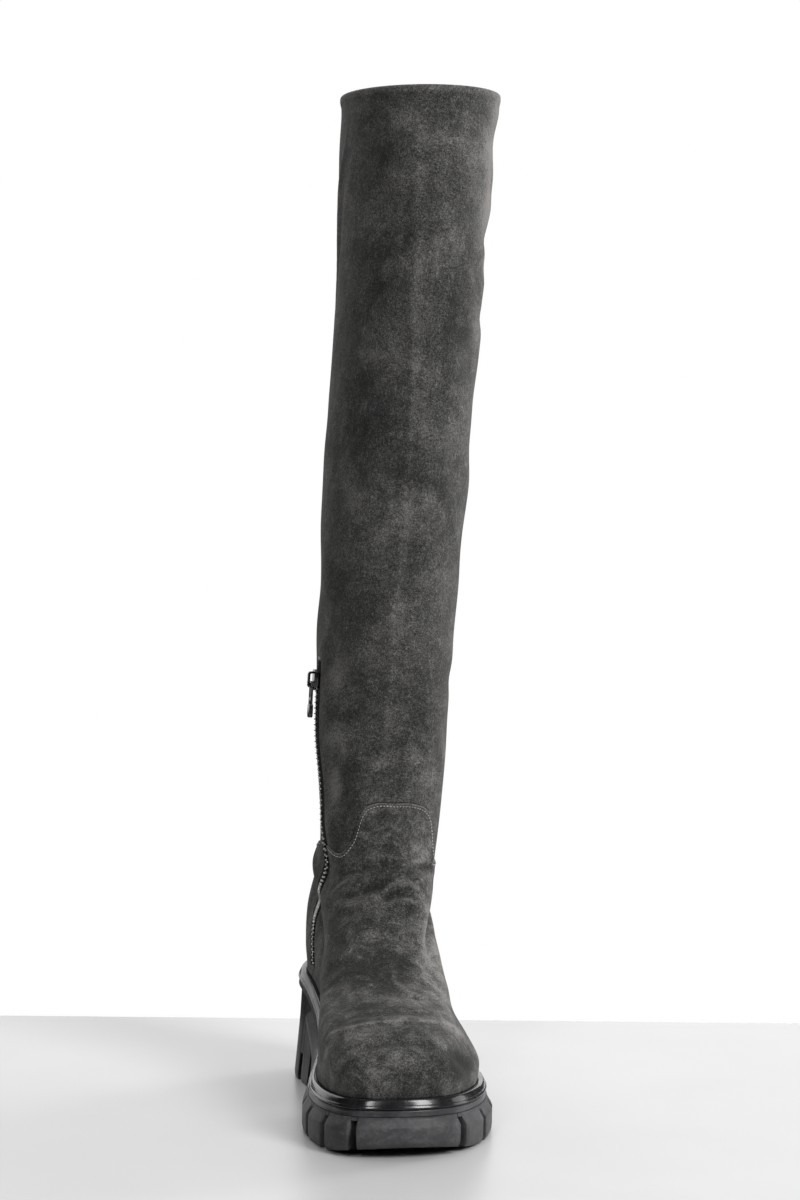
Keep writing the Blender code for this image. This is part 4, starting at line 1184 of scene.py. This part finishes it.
def build_tape(material):
    """Woven tape in the slot, with a cord edge on each side of the teeth."""
    v = np.linspace(SLOT_FOOT + GAP, SLOT_TOP - GAP, TAPE_STEPS)
    columns = []
    for place in TAPE:
        t = zip_side_angle(v, np.full(len(v), place.aside))
        point, _, _, normal = surface_frame(t, v)
        columns.append(point + normal * place.out)
    points = np.stack(columns, axis=1)
    count, rows = points.shape[:2]
    faces = loop_faces(count, rows, False)
    for step in range(count - 1):
        faces.append((step * rows, step * rows + rows - 1, (step + 2) * rows - 1, (step + 1) * rows))
    faces.append(tuple(range(rows)))
    faces.append(tuple(range((count - 1) * rows, count * rows)))
    return add_piece("woven_tape", points, faces, [material], ("zip_tape",),
                     sharp=TAPE_SHARP, turn=True)


# Teeth: distance along the chain, size across, along and off it, and how far the row keeps from its ends
TOOTH_PITCH = 1.65
TOOTH_SIZE = (1.35, 1.05, 1.25)
TOOTH_ASIDE = 1.1
TOOTH_OUT = 0.30
TOOTH_BEVEL = 0.30
TEETH_FROM_FOOT = 1.6
TEETH_UNDER_SLIDER = 3.0
TOOTH_REACH = 1.0
TEETH_SHARP = 60.0


def tooth_form():
    """One tooth: a small block with rounded edges, X across the zip, Y along it, Z off it."""
    form = bmesh.new()
    bmesh.ops.create_cube(form, size=1.0, matrix=Matrix.Diagonal((*TOOTH_SIZE, 1.0)))
    bmesh.ops.bevel(form, geom=form.edges[:], offset=TOOTH_BEVEL, segments=2, affect="EDGES", profile=0.5)
    return joined([form], Matrix.Identity(4))


def build_teeth(material):
    """Closed row of teeth, one from each side in turn."""
    shape, shape_faces = tooth_form()
    low = SLOT_FOOT + GAP + TEETH_FROM_FOOT
    high = zip_wall(SLIDER_Z) - TEETH_UNDER_SLIDER
    v = np.arange(low, high, TOOTH_PITCH)
    t = zip_angle(v)
    point, _, _, normal = surface_frame(t, v)
    along = zip_direction(v, TOOTH_REACH)
    along = unit(along - normal * (along * normal).sum(axis=1, keepdims=True))
    across = np.cross(along, normal)
    side = np.where(np.arange(len(v)) % 2 == 0, 1.0, -1.0)
    local = np.repeat(shape[None], len(v), axis=0)
    local[..., 0] += TOOTH_ASIDE * side[:, None]
    points = point[:, None, :] + normal[:, None, :] * (local[..., 2:3] + TOOTH_OUT)
    points = points + across[:, None, :] * local[..., 0:1] + along[:, None, :] * local[..., 1:2]
    faces = [[k * len(shape) + i for i in f] for k in range(len(v)) for f in shape_faces]
    return add_piece("zip_teeth", points, faces, [material], ("zip_chain",), sharp=TEETH_SHARP)


SLIDER_REACH = 4.0


def slider_frame():
    """Matrix of the slider: X towards the toe, Y up the zip, Z off the leg."""
    v = np.array([zip_wall(SLIDER_Z)])
    t = zip_angle(v)
    point, _, _, normal = surface_frame(t, v)
    out = Vector(normal[0])
    up = Vector(zip_direction(v, SLIDER_REACH)[0])
    up = (up - out * up.dot(out)).normalized()
    toe = up.cross(out).normalized()
    place = Matrix((toe, up, out)).transposed().to_4x4()
    place.translation = Vector(point[0])
    return place


def prism(profile, low, high, order, bevel, segments=2):
    """Rounded solid: profile (a, b) drawn out along c from low to high; order places a, b and c on axes."""
    form = bmesh.new()
    verts = []
    for c in (low, high):
        for a, b in profile:
            values = {"a": a, "b": b, "c": c}
            verts.append(form.verts.new([values[key] for key in order]))
    count = len(profile)
    form.faces.new(verts[:count])
    form.faces.new(verts[count:])
    for i in range(count):
        j = (i + 1) % count
        form.faces.new([verts[i], verts[j], verts[count + j], verts[count + i]])
    bmesh.ops.recalc_face_normals(form, faces=form.faces)
    bmesh.ops.bevel(form, geom=form.edges[:], offset=bevel, segments=segments, affect="EDGES", profile=0.5,
                    clamp_overlap=True)
    return form


def joined(forms, place):
    """Points and faces of several forms, moved by a matrix."""
    points = []
    faces = []
    for form in forms:
        form.verts.ensure_lookup_table()
        form.verts.index_update()
        first = len(points)
        points += [tuple(place @ v.co) for v in form.verts]
        faces += [[first + v.index for v in f.verts] for f in form.faces]
        form.free()
    return np.array(points), faces


# Slider: half outlines in its own frame, heights and bevels of its forms
PLATE = mirrored(((2.4, 6.2), (3.6, 5.6), (4.1, 4.4), (3.9, 1.0), (3.3, -4.6), (2.8, -5.7), (1.9, -6.2)))
FLANK = ((3.15, 4.6), (4.05, 4.4), (3.85, 1.0), (3.25, -4.6), (2.55, -4.6), (2.95, 1.0))
BRIDGE = mirrored(((3.2, 6.0), (4.2, 5.6), (4.8, 4.8), (5.0, 2.1), (3.7, 2.1), (3.5, 4.2), (3.1, 4.6)))
PLATE_HEIGHTS = (1.0, 2.5)
FLANK_HEIGHTS = (-0.5, 1.6)
BRIDGE_SIDES = (-1.4, 1.4)
PLATE_BEVEL = 0.35
FLANK_BEVEL = 0.2
BRIDGE_BEVEL = 0.3
METAL_SHARP = 40.0

# Tab: its place on the bridge, its sizes, and how the grip's corners stand in and back
PIVOT_UP = -1.5
PIVOT_OUT = 3.55
TAB_HALF_WIDTH = 3.2
TAB_HALF_THICK = 0.65
TAB_EYE_HALF = 1.85
TAB_EYE_LENGTH = 9.2
TAB_GRIP_LENGTH = 7.5
TAB_GRIP_HALF_THICK = 1.15
TAB_PLATE_OVERLAP = 0.3
TAB_GRIP_OVERLAP = 0.4
TAB_GRIP_INSET = 0.05
TAB_BEVEL = 0.2
GRIP_BEVEL = 0.35
GRIP_TOP = ((0.6, 0.0), (0.0, 0.7))
GRIP_FOOT = ((0.0, 2.0), (0.5, 0.7), (1.5, 0.0))
BEVEL_FROM_ANGLE = 1.0


def build_slider(place, material):
    """Slider: face plate, flanks down beside the teeth and the bridge that carries the tab."""
    forms = [prism(PLATE, *PLATE_HEIGHTS, "abc", PLATE_BEVEL, 3)]
    for side in (-1, 1):
        forms.append(prism([(side * x, y) for x, y in FLANK], *FLANK_HEIGHTS, "abc", FLANK_BEVEL))
    forms.append(prism(BRIDGE, *BRIDGE_SIDES, "cab", BRIDGE_BEVEL, 3))
    points, faces = joined(forms, place)
    return add_piece("slider_body", points, faces, [material], ("zip_slider",), sharp=METAL_SHARP)


def ring_form(outer, inner, half, bevel):
    """Flat plate with a window, rounded along its edges."""
    form = bmesh.new()
    loops = []
    for c in (-half, half):
        loops.append([form.verts.new((a, b, c)) for a, b in outer])
        loops.append([form.verts.new((a, b, c)) for a, b in inner])
    count = len(outer)
    for i in range(count):
        j = (i + 1) % count
        for p, q in ((0, 1), (2, 3), (0, 2), (1, 3)):
            form.faces.new([loops[p][i], loops[p][j], loops[q][j], loops[q][i]])
    bmesh.ops.recalc_face_normals(form, faces=form.faces)
    sharp = [e for e in form.edges if e.calc_face_angle(0.0) > BEVEL_FROM_ANGLE]
    bmesh.ops.bevel(form, geom=sharp, offset=bevel, segments=2, affect="EDGES", profile=0.5, clamp_overlap=True)
    return form


def build_tab(place, material):
    """Pull tab on its cross bar, hanging down the zip, with a thicker grip at its end."""
    w = TAB_HALF_WIDTH
    eye_end = -TAB_EYE_LENGTH
    foot = TAB_GRIP_LENGTH - TAB_LENGTH - TAB_PLATE_OVERLAP
    outer = ((-w, TAB_HALF_THICK), (w, TAB_HALF_THICK), (w, eye_end), (w, foot), (-w, foot), (-w, eye_end))
    e = TAB_EYE_HALF
    top = -TAB_HALF_THICK
    inner = ((-e, top), (e, top), (e, eye_end * 0.5), (e, eye_end), (-e, eye_end), (-e, eye_end * 0.5))
    plate = ring_form(outer, inner, TAB_HALF_THICK, TAB_BEVEL)
    g = w - TAB_GRIP_INSET
    grip_top = TAB_GRIP_LENGTH - TAB_LENGTH + TAB_GRIP_OVERLAP
    grip = [(g - inset, grip_top - drop) for inset, drop in GRIP_TOP]
    grip += [(g - inset, rise - TAB_LENGTH) for inset, rise in GRIP_FOOT]
    pad = prism(mirrored(grip), -TAB_GRIP_HALF_THICK, TAB_GRIP_HALF_THICK, "abc", GRIP_BEVEL, 3)
    pivot = place @ Matrix.Translation((0.0, PIVOT_UP, PIVOT_OUT))
    points, faces = joined([plate, pad], pivot)
    return add_piece("pull_tab_plate", points, faces, [material], ("zip_pull_tab",), body="pull_tab",
                     sharp=METAL_SHARP)


class Shader:
    """Principled material with short helpers for its node tree."""

    def __init__(self, name, colour=(0.5, 0.5, 0.5), **sockets):
        self.material = bpy.data.materials.new(name)
        self.material.use_nodes = True
        self.tree = self.material.node_tree
        self.bsdf = self.tree.nodes["Principled BSDF"]
        self.bsdf.inputs["Base Color"].default_value = (*colour, 1.0)
        for key, value in sockets.items():
            self.bsdf.inputs[key.replace("_", " ")].default_value = value
        self.place = self.tree.nodes.new("ShaderNodeTexCoord").outputs["Object"]

    def node(self, kind, inputs=None, **settings):
        made = self.tree.nodes.new(kind)
        for key, value in settings.items():
            setattr(made, key, value)
        for key, value in (inputs or {}).items():
            if isinstance(value, bpy.types.NodeSocket):
                self.tree.links.new(value, made.inputs[key])
            else:
                made.inputs[key].default_value = value
        return made

    def stretched(self, scale):
        return self.node("ShaderNodeMapping", {"Vector": self.place, "Scale": scale}).outputs["Vector"]

    def turned(self, angles, scale):
        inputs = {"Vector": self.place, "Rotation": angles, "Scale": scale}
        return self.node("ShaderNodeMapping", inputs, vector_type="TEXTURE").outputs["Vector"]

    def noise(self, scale, detail=2.0, roughness=0.5, distortion=0.0, vector=None):
        inputs = {"Vector": vector or self.place, "Scale": scale, "Detail": detail, "Roughness": roughness,
                  "Distortion": distortion}
        return self.node("ShaderNodeTexNoise", inputs).outputs["Fac"]

    def math(self, operation, a, b=0.0, c=0.0):
        return self.node("ShaderNodeMath", {0: a, 1: b, 2: c}, operation=operation).outputs[0]

    def weighed(self, *pairs):
        """Sum of signals about their middle, each with its weight, about a half."""
        total = 0.5
        for signal, weight in pairs:
            centred = self.math("SUBTRACT", signal, 0.5)
            total = self.math("MULTIPLY_ADD", centred, weight, total)
        return total

    def ramp(self, signal, *stops):
        made = self.node("ShaderNodeValToRGB", {"Fac": signal})
        marks = made.color_ramp.elements
        while len(marks) < len(stops):
            marks.new(0.5)
        for mark, (position, colour) in zip(marks, stops):
            mark.position = position
            mark.color = (*colour, 1.0)
        return made.outputs["Color"]

    def range(self, signal, low, high, start=0.3, end=0.7):
        inputs = {"Value": signal, "From Min": start, "From Max": end, "To Min": low, "To Max": high}
        return self.node("ShaderNodeMapRange", inputs).outputs["Result"]

    def relief(self, signal, distance, strength=1.0, under=None):
        inputs = {"Height": signal, "Distance": distance, "Strength": strength}
        if under is not None:
            inputs["Normal"] = under
        return self.node("ShaderNodeBump", inputs).outputs["Normal"]

    def use(self, **sockets):
        for key, signal in sockets.items():
            self.tree.links.new(signal, self.bsdf.inputs[key.replace("_", " ")])
        return self.material


def suede_material(name, cloud_share, stroke_share):
    """Brushed nap: blotches, strokes and fibre speckle, with the wall's nap tone, which holds worn places and
    painted light and shade.
    """
    s = Shader(name, Roughness=0.95, Specular_IOR_Level=0.12, Sheen_Weight=0.14, Sheen_Roughness=0.5,
               Sheen_Tint=(0.75, 0.73, 0.71, 1.0))
    lying = s.stretched((1.0, 1.0, 1.35))
    blotch = s.noise(22.0, 3.0, 0.55, 0.9, lying)
    cloud = s.noise(78.0, 4.0, 0.62, 1.4, lying)
    stroke = s.noise(60.0, 3.0, 0.6, 0.8, s.turned((0.5, -0.35, 0.6), (1.0, 1.0, 3.6)))
    fibre = s.noise(620.0, 3.0, 0.7)
    speck = s.noise(1500.0, 2.0, 0.6)
    fleck = s.range(s.noise(250.0, 2.0, 0.6, 0.6), 0.5, 0.75, 0.60, 0.80)
    # The nap attribute brings in the painted shade and painted highlights of the wall's nap tone
    nap = s.node("ShaderNodeAttribute", attribute_name="nap").outputs["Fac"]
    signal = s.weighed((blotch, 0.65), (cloud, cloud_share), (stroke, stroke_share), (fibre, 0.7), (speck, 1.4),
                       (fleck, 1.0), (nap, 1.0))
    colour = s.ramp(
        signal,
        (0.10, (0.0125, 0.0127, 0.0122)),
        (0.36, (0.0285, 0.0288, 0.0278)),
        (0.50, (0.050, 0.049, 0.048)),
        (0.66, (0.086, 0.083, 0.0805)),
        (0.95, (0.177, 0.170, 0.165)),
    )
    coarse = s.relief(cloud, 0.0012, 0.5)
    fine = s.relief(fibre, 0.0007, 0.55, coarse)
    return s.use(Base_Color=colour, Normal=s.relief(speck, 0.0003, 0.5, fine))


def grained_material(name, grain, broad, weight, dark, light, depth, strength, **sockets):
    """Plain stuff: a fine grain over broader changes of tone, each a row of noise values."""
    s = Shader(name, **sockets)
    fine = s.noise(*grain)
    tone = s.weighed((s.noise(*broad), weight), (fine, weight))
    colour = s.ramp(tone, (0.25, dark), (0.75, light))
    return s.use(Base_Color=colour, Normal=s.relief(fine, depth, strength))


def gloss_rubber(name, colour, roughness, waviness, gloss):
    """Moulded glossy rubber with a little flow, dust and rub."""
    s = Shader(name, Specular_IOR_Level=gloss, Coat_Weight=0.5 * gloss, Coat_Roughness=0.1)
    dust = s.noise(46.0, 5.0, 0.65, 0.6)
    light = tuple(2.1 * c + 0.008 for c in colour)
    tint = s.ramp(s.weighed((dust, 1.0), (s.noise(700.0, 2.0), 0.35)), (0.40, colour), (0.80, light))
    rough = s.range(dust, roughness, roughness + 0.18, 0.4, 0.75)
    flow = s.noise(38.0, 2.0, 0.5)
    return s.use(Base_Color=tint, Roughness=rough, Normal=s.relief(flow, waviness, 0.6))


def lug_material():
    """Matte rubber of the lugs, dusty and a little scuffed."""
    s = Shader("lug_rubber_look", Specular_IOR_Level=0.38)
    dust = s.noise(60.0, 5.0, 0.65, 0.7, s.stretched((1.0, 1.0, 1.8)))
    grain = s.noise(900.0, 3.0, 0.6)
    scuff = s.noise(190.0, 3.0, 0.5, 1.2)
    tone = s.weighed((dust, 1.1), (grain, 0.35), (scuff, 0.5))
    colour = s.ramp(tone, (0.20, (0.026, 0.026, 0.028)), (0.50, (0.047, 0.047, 0.050)),
                    (0.78, (0.098, 0.098, 0.102)))
    rough = s.range(dust, 0.42, 0.68)
    coarse = s.relief(scuff, 0.0004, 0.4)
    return s.use(Base_Color=colour, Roughness=rough, Normal=s.relief(grain, 0.00025, 0.5, coarse))


def cloth_material():
    """Fine woven tape: two crossing waves."""
    s = Shader("zip_tape_weave", Roughness=0.9, Specular_IOR_Level=0.2)
    thread = {"Vector": s.place, "Scale": 520.0}
    waves = [s.node("ShaderNodeTexWave", thread, bands_direction=axis).outputs["Fac"] for axis in "ZY"]
    weave = s.math("MULTIPLY", *waves)
    tone = s.weighed((weave, 0.6), (s.noise(300.0, 3.0), 0.5))
    colour = s.ramp(tone, (0.2, (0.006, 0.006, 0.006)), (0.8, (0.028, 0.028, 0.028)))
    return s.use(Base_Color=colour, Normal=s.relief(weave, 0.0003, 0.6))


def metal_material(name, dark, light, roughness, wear):
    """Plated metal with fine rub marks."""
    s = Shader(name, Metallic=1.0)
    rub = s.noise(wear, 4.0, 0.65, 0.4)
    tint = s.ramp(rub, (0.35, dark), (0.72, light))
    rough = s.range(rub, roughness, roughness + 0.16, 0.35, 0.75)
    return s.use(Base_Color=tint, Roughness=rough, Normal=s.relief(s.noise(1400.0, 2.0), 0.00006, 0.4))


def build_boot():
    """All pieces with their materials; the insole keeps its own form."""
    suede = suede_material("suede_nap", 0.9, 0.85)
    leg_suede = suede_material("leg_suede_nap", 0.5, 0.4)
    lining = grained_material(
        "leg_lining", (420.0, 4.0, 0.6), (30.0, 3.0), 0.6, (0.016, 0.0155, 0.015), (0.045, 0.043, 0.041),
        0.0004, 0.5, Roughness=0.85, Specular_IOR_Level=0.25,
    )
    thread = grained_material(
        "grey_thread", (2600.0, 2.0, 0.5), (90.0, 2.0), 0.8, (0.20, 0.20, 0.197), (0.50, 0.495, 0.485),
        0.0002, 0.6, Roughness=0.75, Specular_IOR_Level=0.25, Sheen_Weight=0.2, Sheen_Roughness=0.5,
    )
    board = grained_material(
        "insole_cover", (260.0, 4.0, 0.6, 0.4), (25.0, 3.0), 0.7, (0.026, 0.024, 0.022), (0.062, 0.057, 0.052),
        0.0005, 0.5, Roughness=0.8, Specular_IOR_Level=0.3,
    )
    build_upper([suede, lining])
    build_shaft([leg_suede, lining])
    seam_stitches(thread)
    bar_tack(thread)
    bead = gloss_rubber("bead_gloss", (0.009, 0.009, 0.010), 0.14, 0.0005, 0.42)
    build_rand([bead, gloss_rubber("band_satin", (0.027, 0.0275, 0.0295), 0.36, 0.0006, 0.34)])
    build_tread(lug_material())
    build_heel(gloss_rubber("heel_gloss", (0.005, 0.005, 0.0053), 0.40, 0.0008, 0.12))
    build_tape(cloth_material())
    build_teeth(metal_material("teeth_gunmetal", (0.58, 0.58, 0.57), (0.88, 0.88, 0.86), 0.27, 900.0))
    place = slider_frame()
    nickel = (0.05, 0.05, 0.053), (0.15, 0.15, 0.155)
    build_slider(place, metal_material("slider_black_nickel", *nickel, 0.18, 260.0))
    build_tab(place, metal_material("tab_black_nickel", *nickel, 0.20, 260.0))
    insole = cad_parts["insole"]
    insole.data.materials.clear()
    insole.data.materials.append(board)


# Camera: the view of the photograph, turned a little so that one boot stands in the middle
VIEW_TURN = math.radians(10.0)
VIEW_CENTRE = math.radians(1.52)
VIEW_DOWN = math.radians(2.8)
VIEW_ROLL = math.radians(0.86)
CAMERA_PLACE = (-0.3365, -1.7684, 0.375)
CAMERA_LENS = 90.27
CAMERA_SENSOR = 36.0


def add_camera():
    data = bpy.data.cameras.new("camera")
    data.sensor_width = CAMERA_SENSOR
    data.lens = CAMERA_LENS
    camera = add_object("camera", data)
    heading = VIEW_TURN + VIEW_CENTRE
    level = math.cos(VIEW_DOWN)
    ahead = Vector((math.sin(heading) * level, math.cos(heading) * level, -math.sin(VIEW_DOWN)))
    right = Vector((math.cos(heading), -math.sin(heading), 0.0))
    up = right.cross(ahead)
    across = right * math.cos(VIEW_ROLL) + up * math.sin(VIEW_ROLL)
    upright = up * math.cos(VIEW_ROLL) - right * math.sin(VIEW_ROLL)
    turn = Matrix((across, upright, -ahead)).transposed().to_4x4()
    camera.matrix_world = Matrix.Translation(CAMERA_PLACE) @ turn
    bpy.context.scene.camera = camera


# Floor: how far it reaches, and its far edge behind the middle of the heel
FLOOR_REACH = 4.0
TABLE_EDGE = 0.177


def add_floor():
    """Pale table top, with its far edge where the photograph has it."""
    s = Shader("pale_floor", Roughness=0.32, Specular_IOR_Level=0.5)
    grain = s.noise(9.0, 3.0)
    material = s.use(Base_Color=s.ramp(grain, (0.3, (0.49, 0.495, 0.49)), (0.7, (0.515, 0.52, 0.515))))
    ahead = Vector((math.sin(VIEW_TURN), math.cos(VIEW_TURN), 0.0))
    aside = Vector((ahead.y, -ahead.x, 0.0)) * FLOOR_REACH
    back = ahead * TABLE_EDGE
    front = back - ahead * FLOOR_REACH
    mesh = bpy.data.meshes.new("floor")
    mesh.from_pydata([front - aside, front + aside, back + aside, back - aside], [], [(0, 1, 2, 3)])
    mesh.materials.append(material)
    floor = add_object("floor", mesh)


# Lamps: bearing from the toe's direction towards the outer side, distance, height, size, power,
# the angle over which the light fans out, and whether gloss shows the lamp
Light = namedtuple("Light", "name degrees distance height wide tall power fan mirrored")
LIGHTS = table(
    Light,
    ("key_right", 33, 1.78, 1.45, 0.65, 1.20, 40, 180, True),
    ("strip_left", -31, 1.78, 1.35, 0.30, 1.00, 11, 180, True),
    ("overhead", 165, 0.60, 1.90, 1.60, 1.60, 28, 180, True),
    ("side_right", 116, 3.00, 0.62, 0.90, 1.00, 13, 70, False),
    ("card_right", 98, 1.60, 0.40, 1.00, 0.80, 4.5, 180, True),
    ("backdrop", 180, 1.90, 0.75, 3.20, 1.40, 17, 180, True),
)
LIGHT_AIM = Vector((0.0, -0.06, 0.26))
WORLD_LIGHT = 0.02


def add_lights():
    for row in LIGHTS:
        data = bpy.data.lights.new(row.name, "AREA")
        data.shape = "RECTANGLE"
        data.size = row.wide
        data.size_y = row.tall
        data.energy = row.power
        data.spread = math.radians(row.fan)
        lamp = add_object(row.name, data)
        turn = math.radians(row.degrees)
        lamp.visible_camera = False
        lamp.visible_glossy = row.mirrored
        lamp.location = (row.distance * math.sin(turn), -row.distance * math.cos(turn), row.height)
        lamp.rotation_euler = (LIGHT_AIM - lamp.location).to_track_quat("-Z", "Y").to_euler()
    world = bpy.data.worlds.new("studio")
    bpy.context.scene.world = world
    world.use_nodes = True
    tree = world.node_tree
    ground = tree.nodes["Background"]
    seen = tree.nodes.new("ShaderNodeLightPath").outputs["Is Camera Ray"]
    strength = tree.nodes.new("ShaderNodeMapRange")
    strength.inputs["To Min"].default_value = WORLD_LIGHT
    strength.inputs["To Max"].default_value = 1.0
    tree.links.new(seen, strength.inputs["Value"])
    tree.links.new(strength.outputs["Result"], ground.inputs["Strength"])
    ground.inputs["Color"].default_value = (1.0, 1.0, 1.0, 1.0)
    bpy.context.scene.view_settings.view_transform = "Standard"


add_camera()
build_boot()
add_floor()
add_lights()
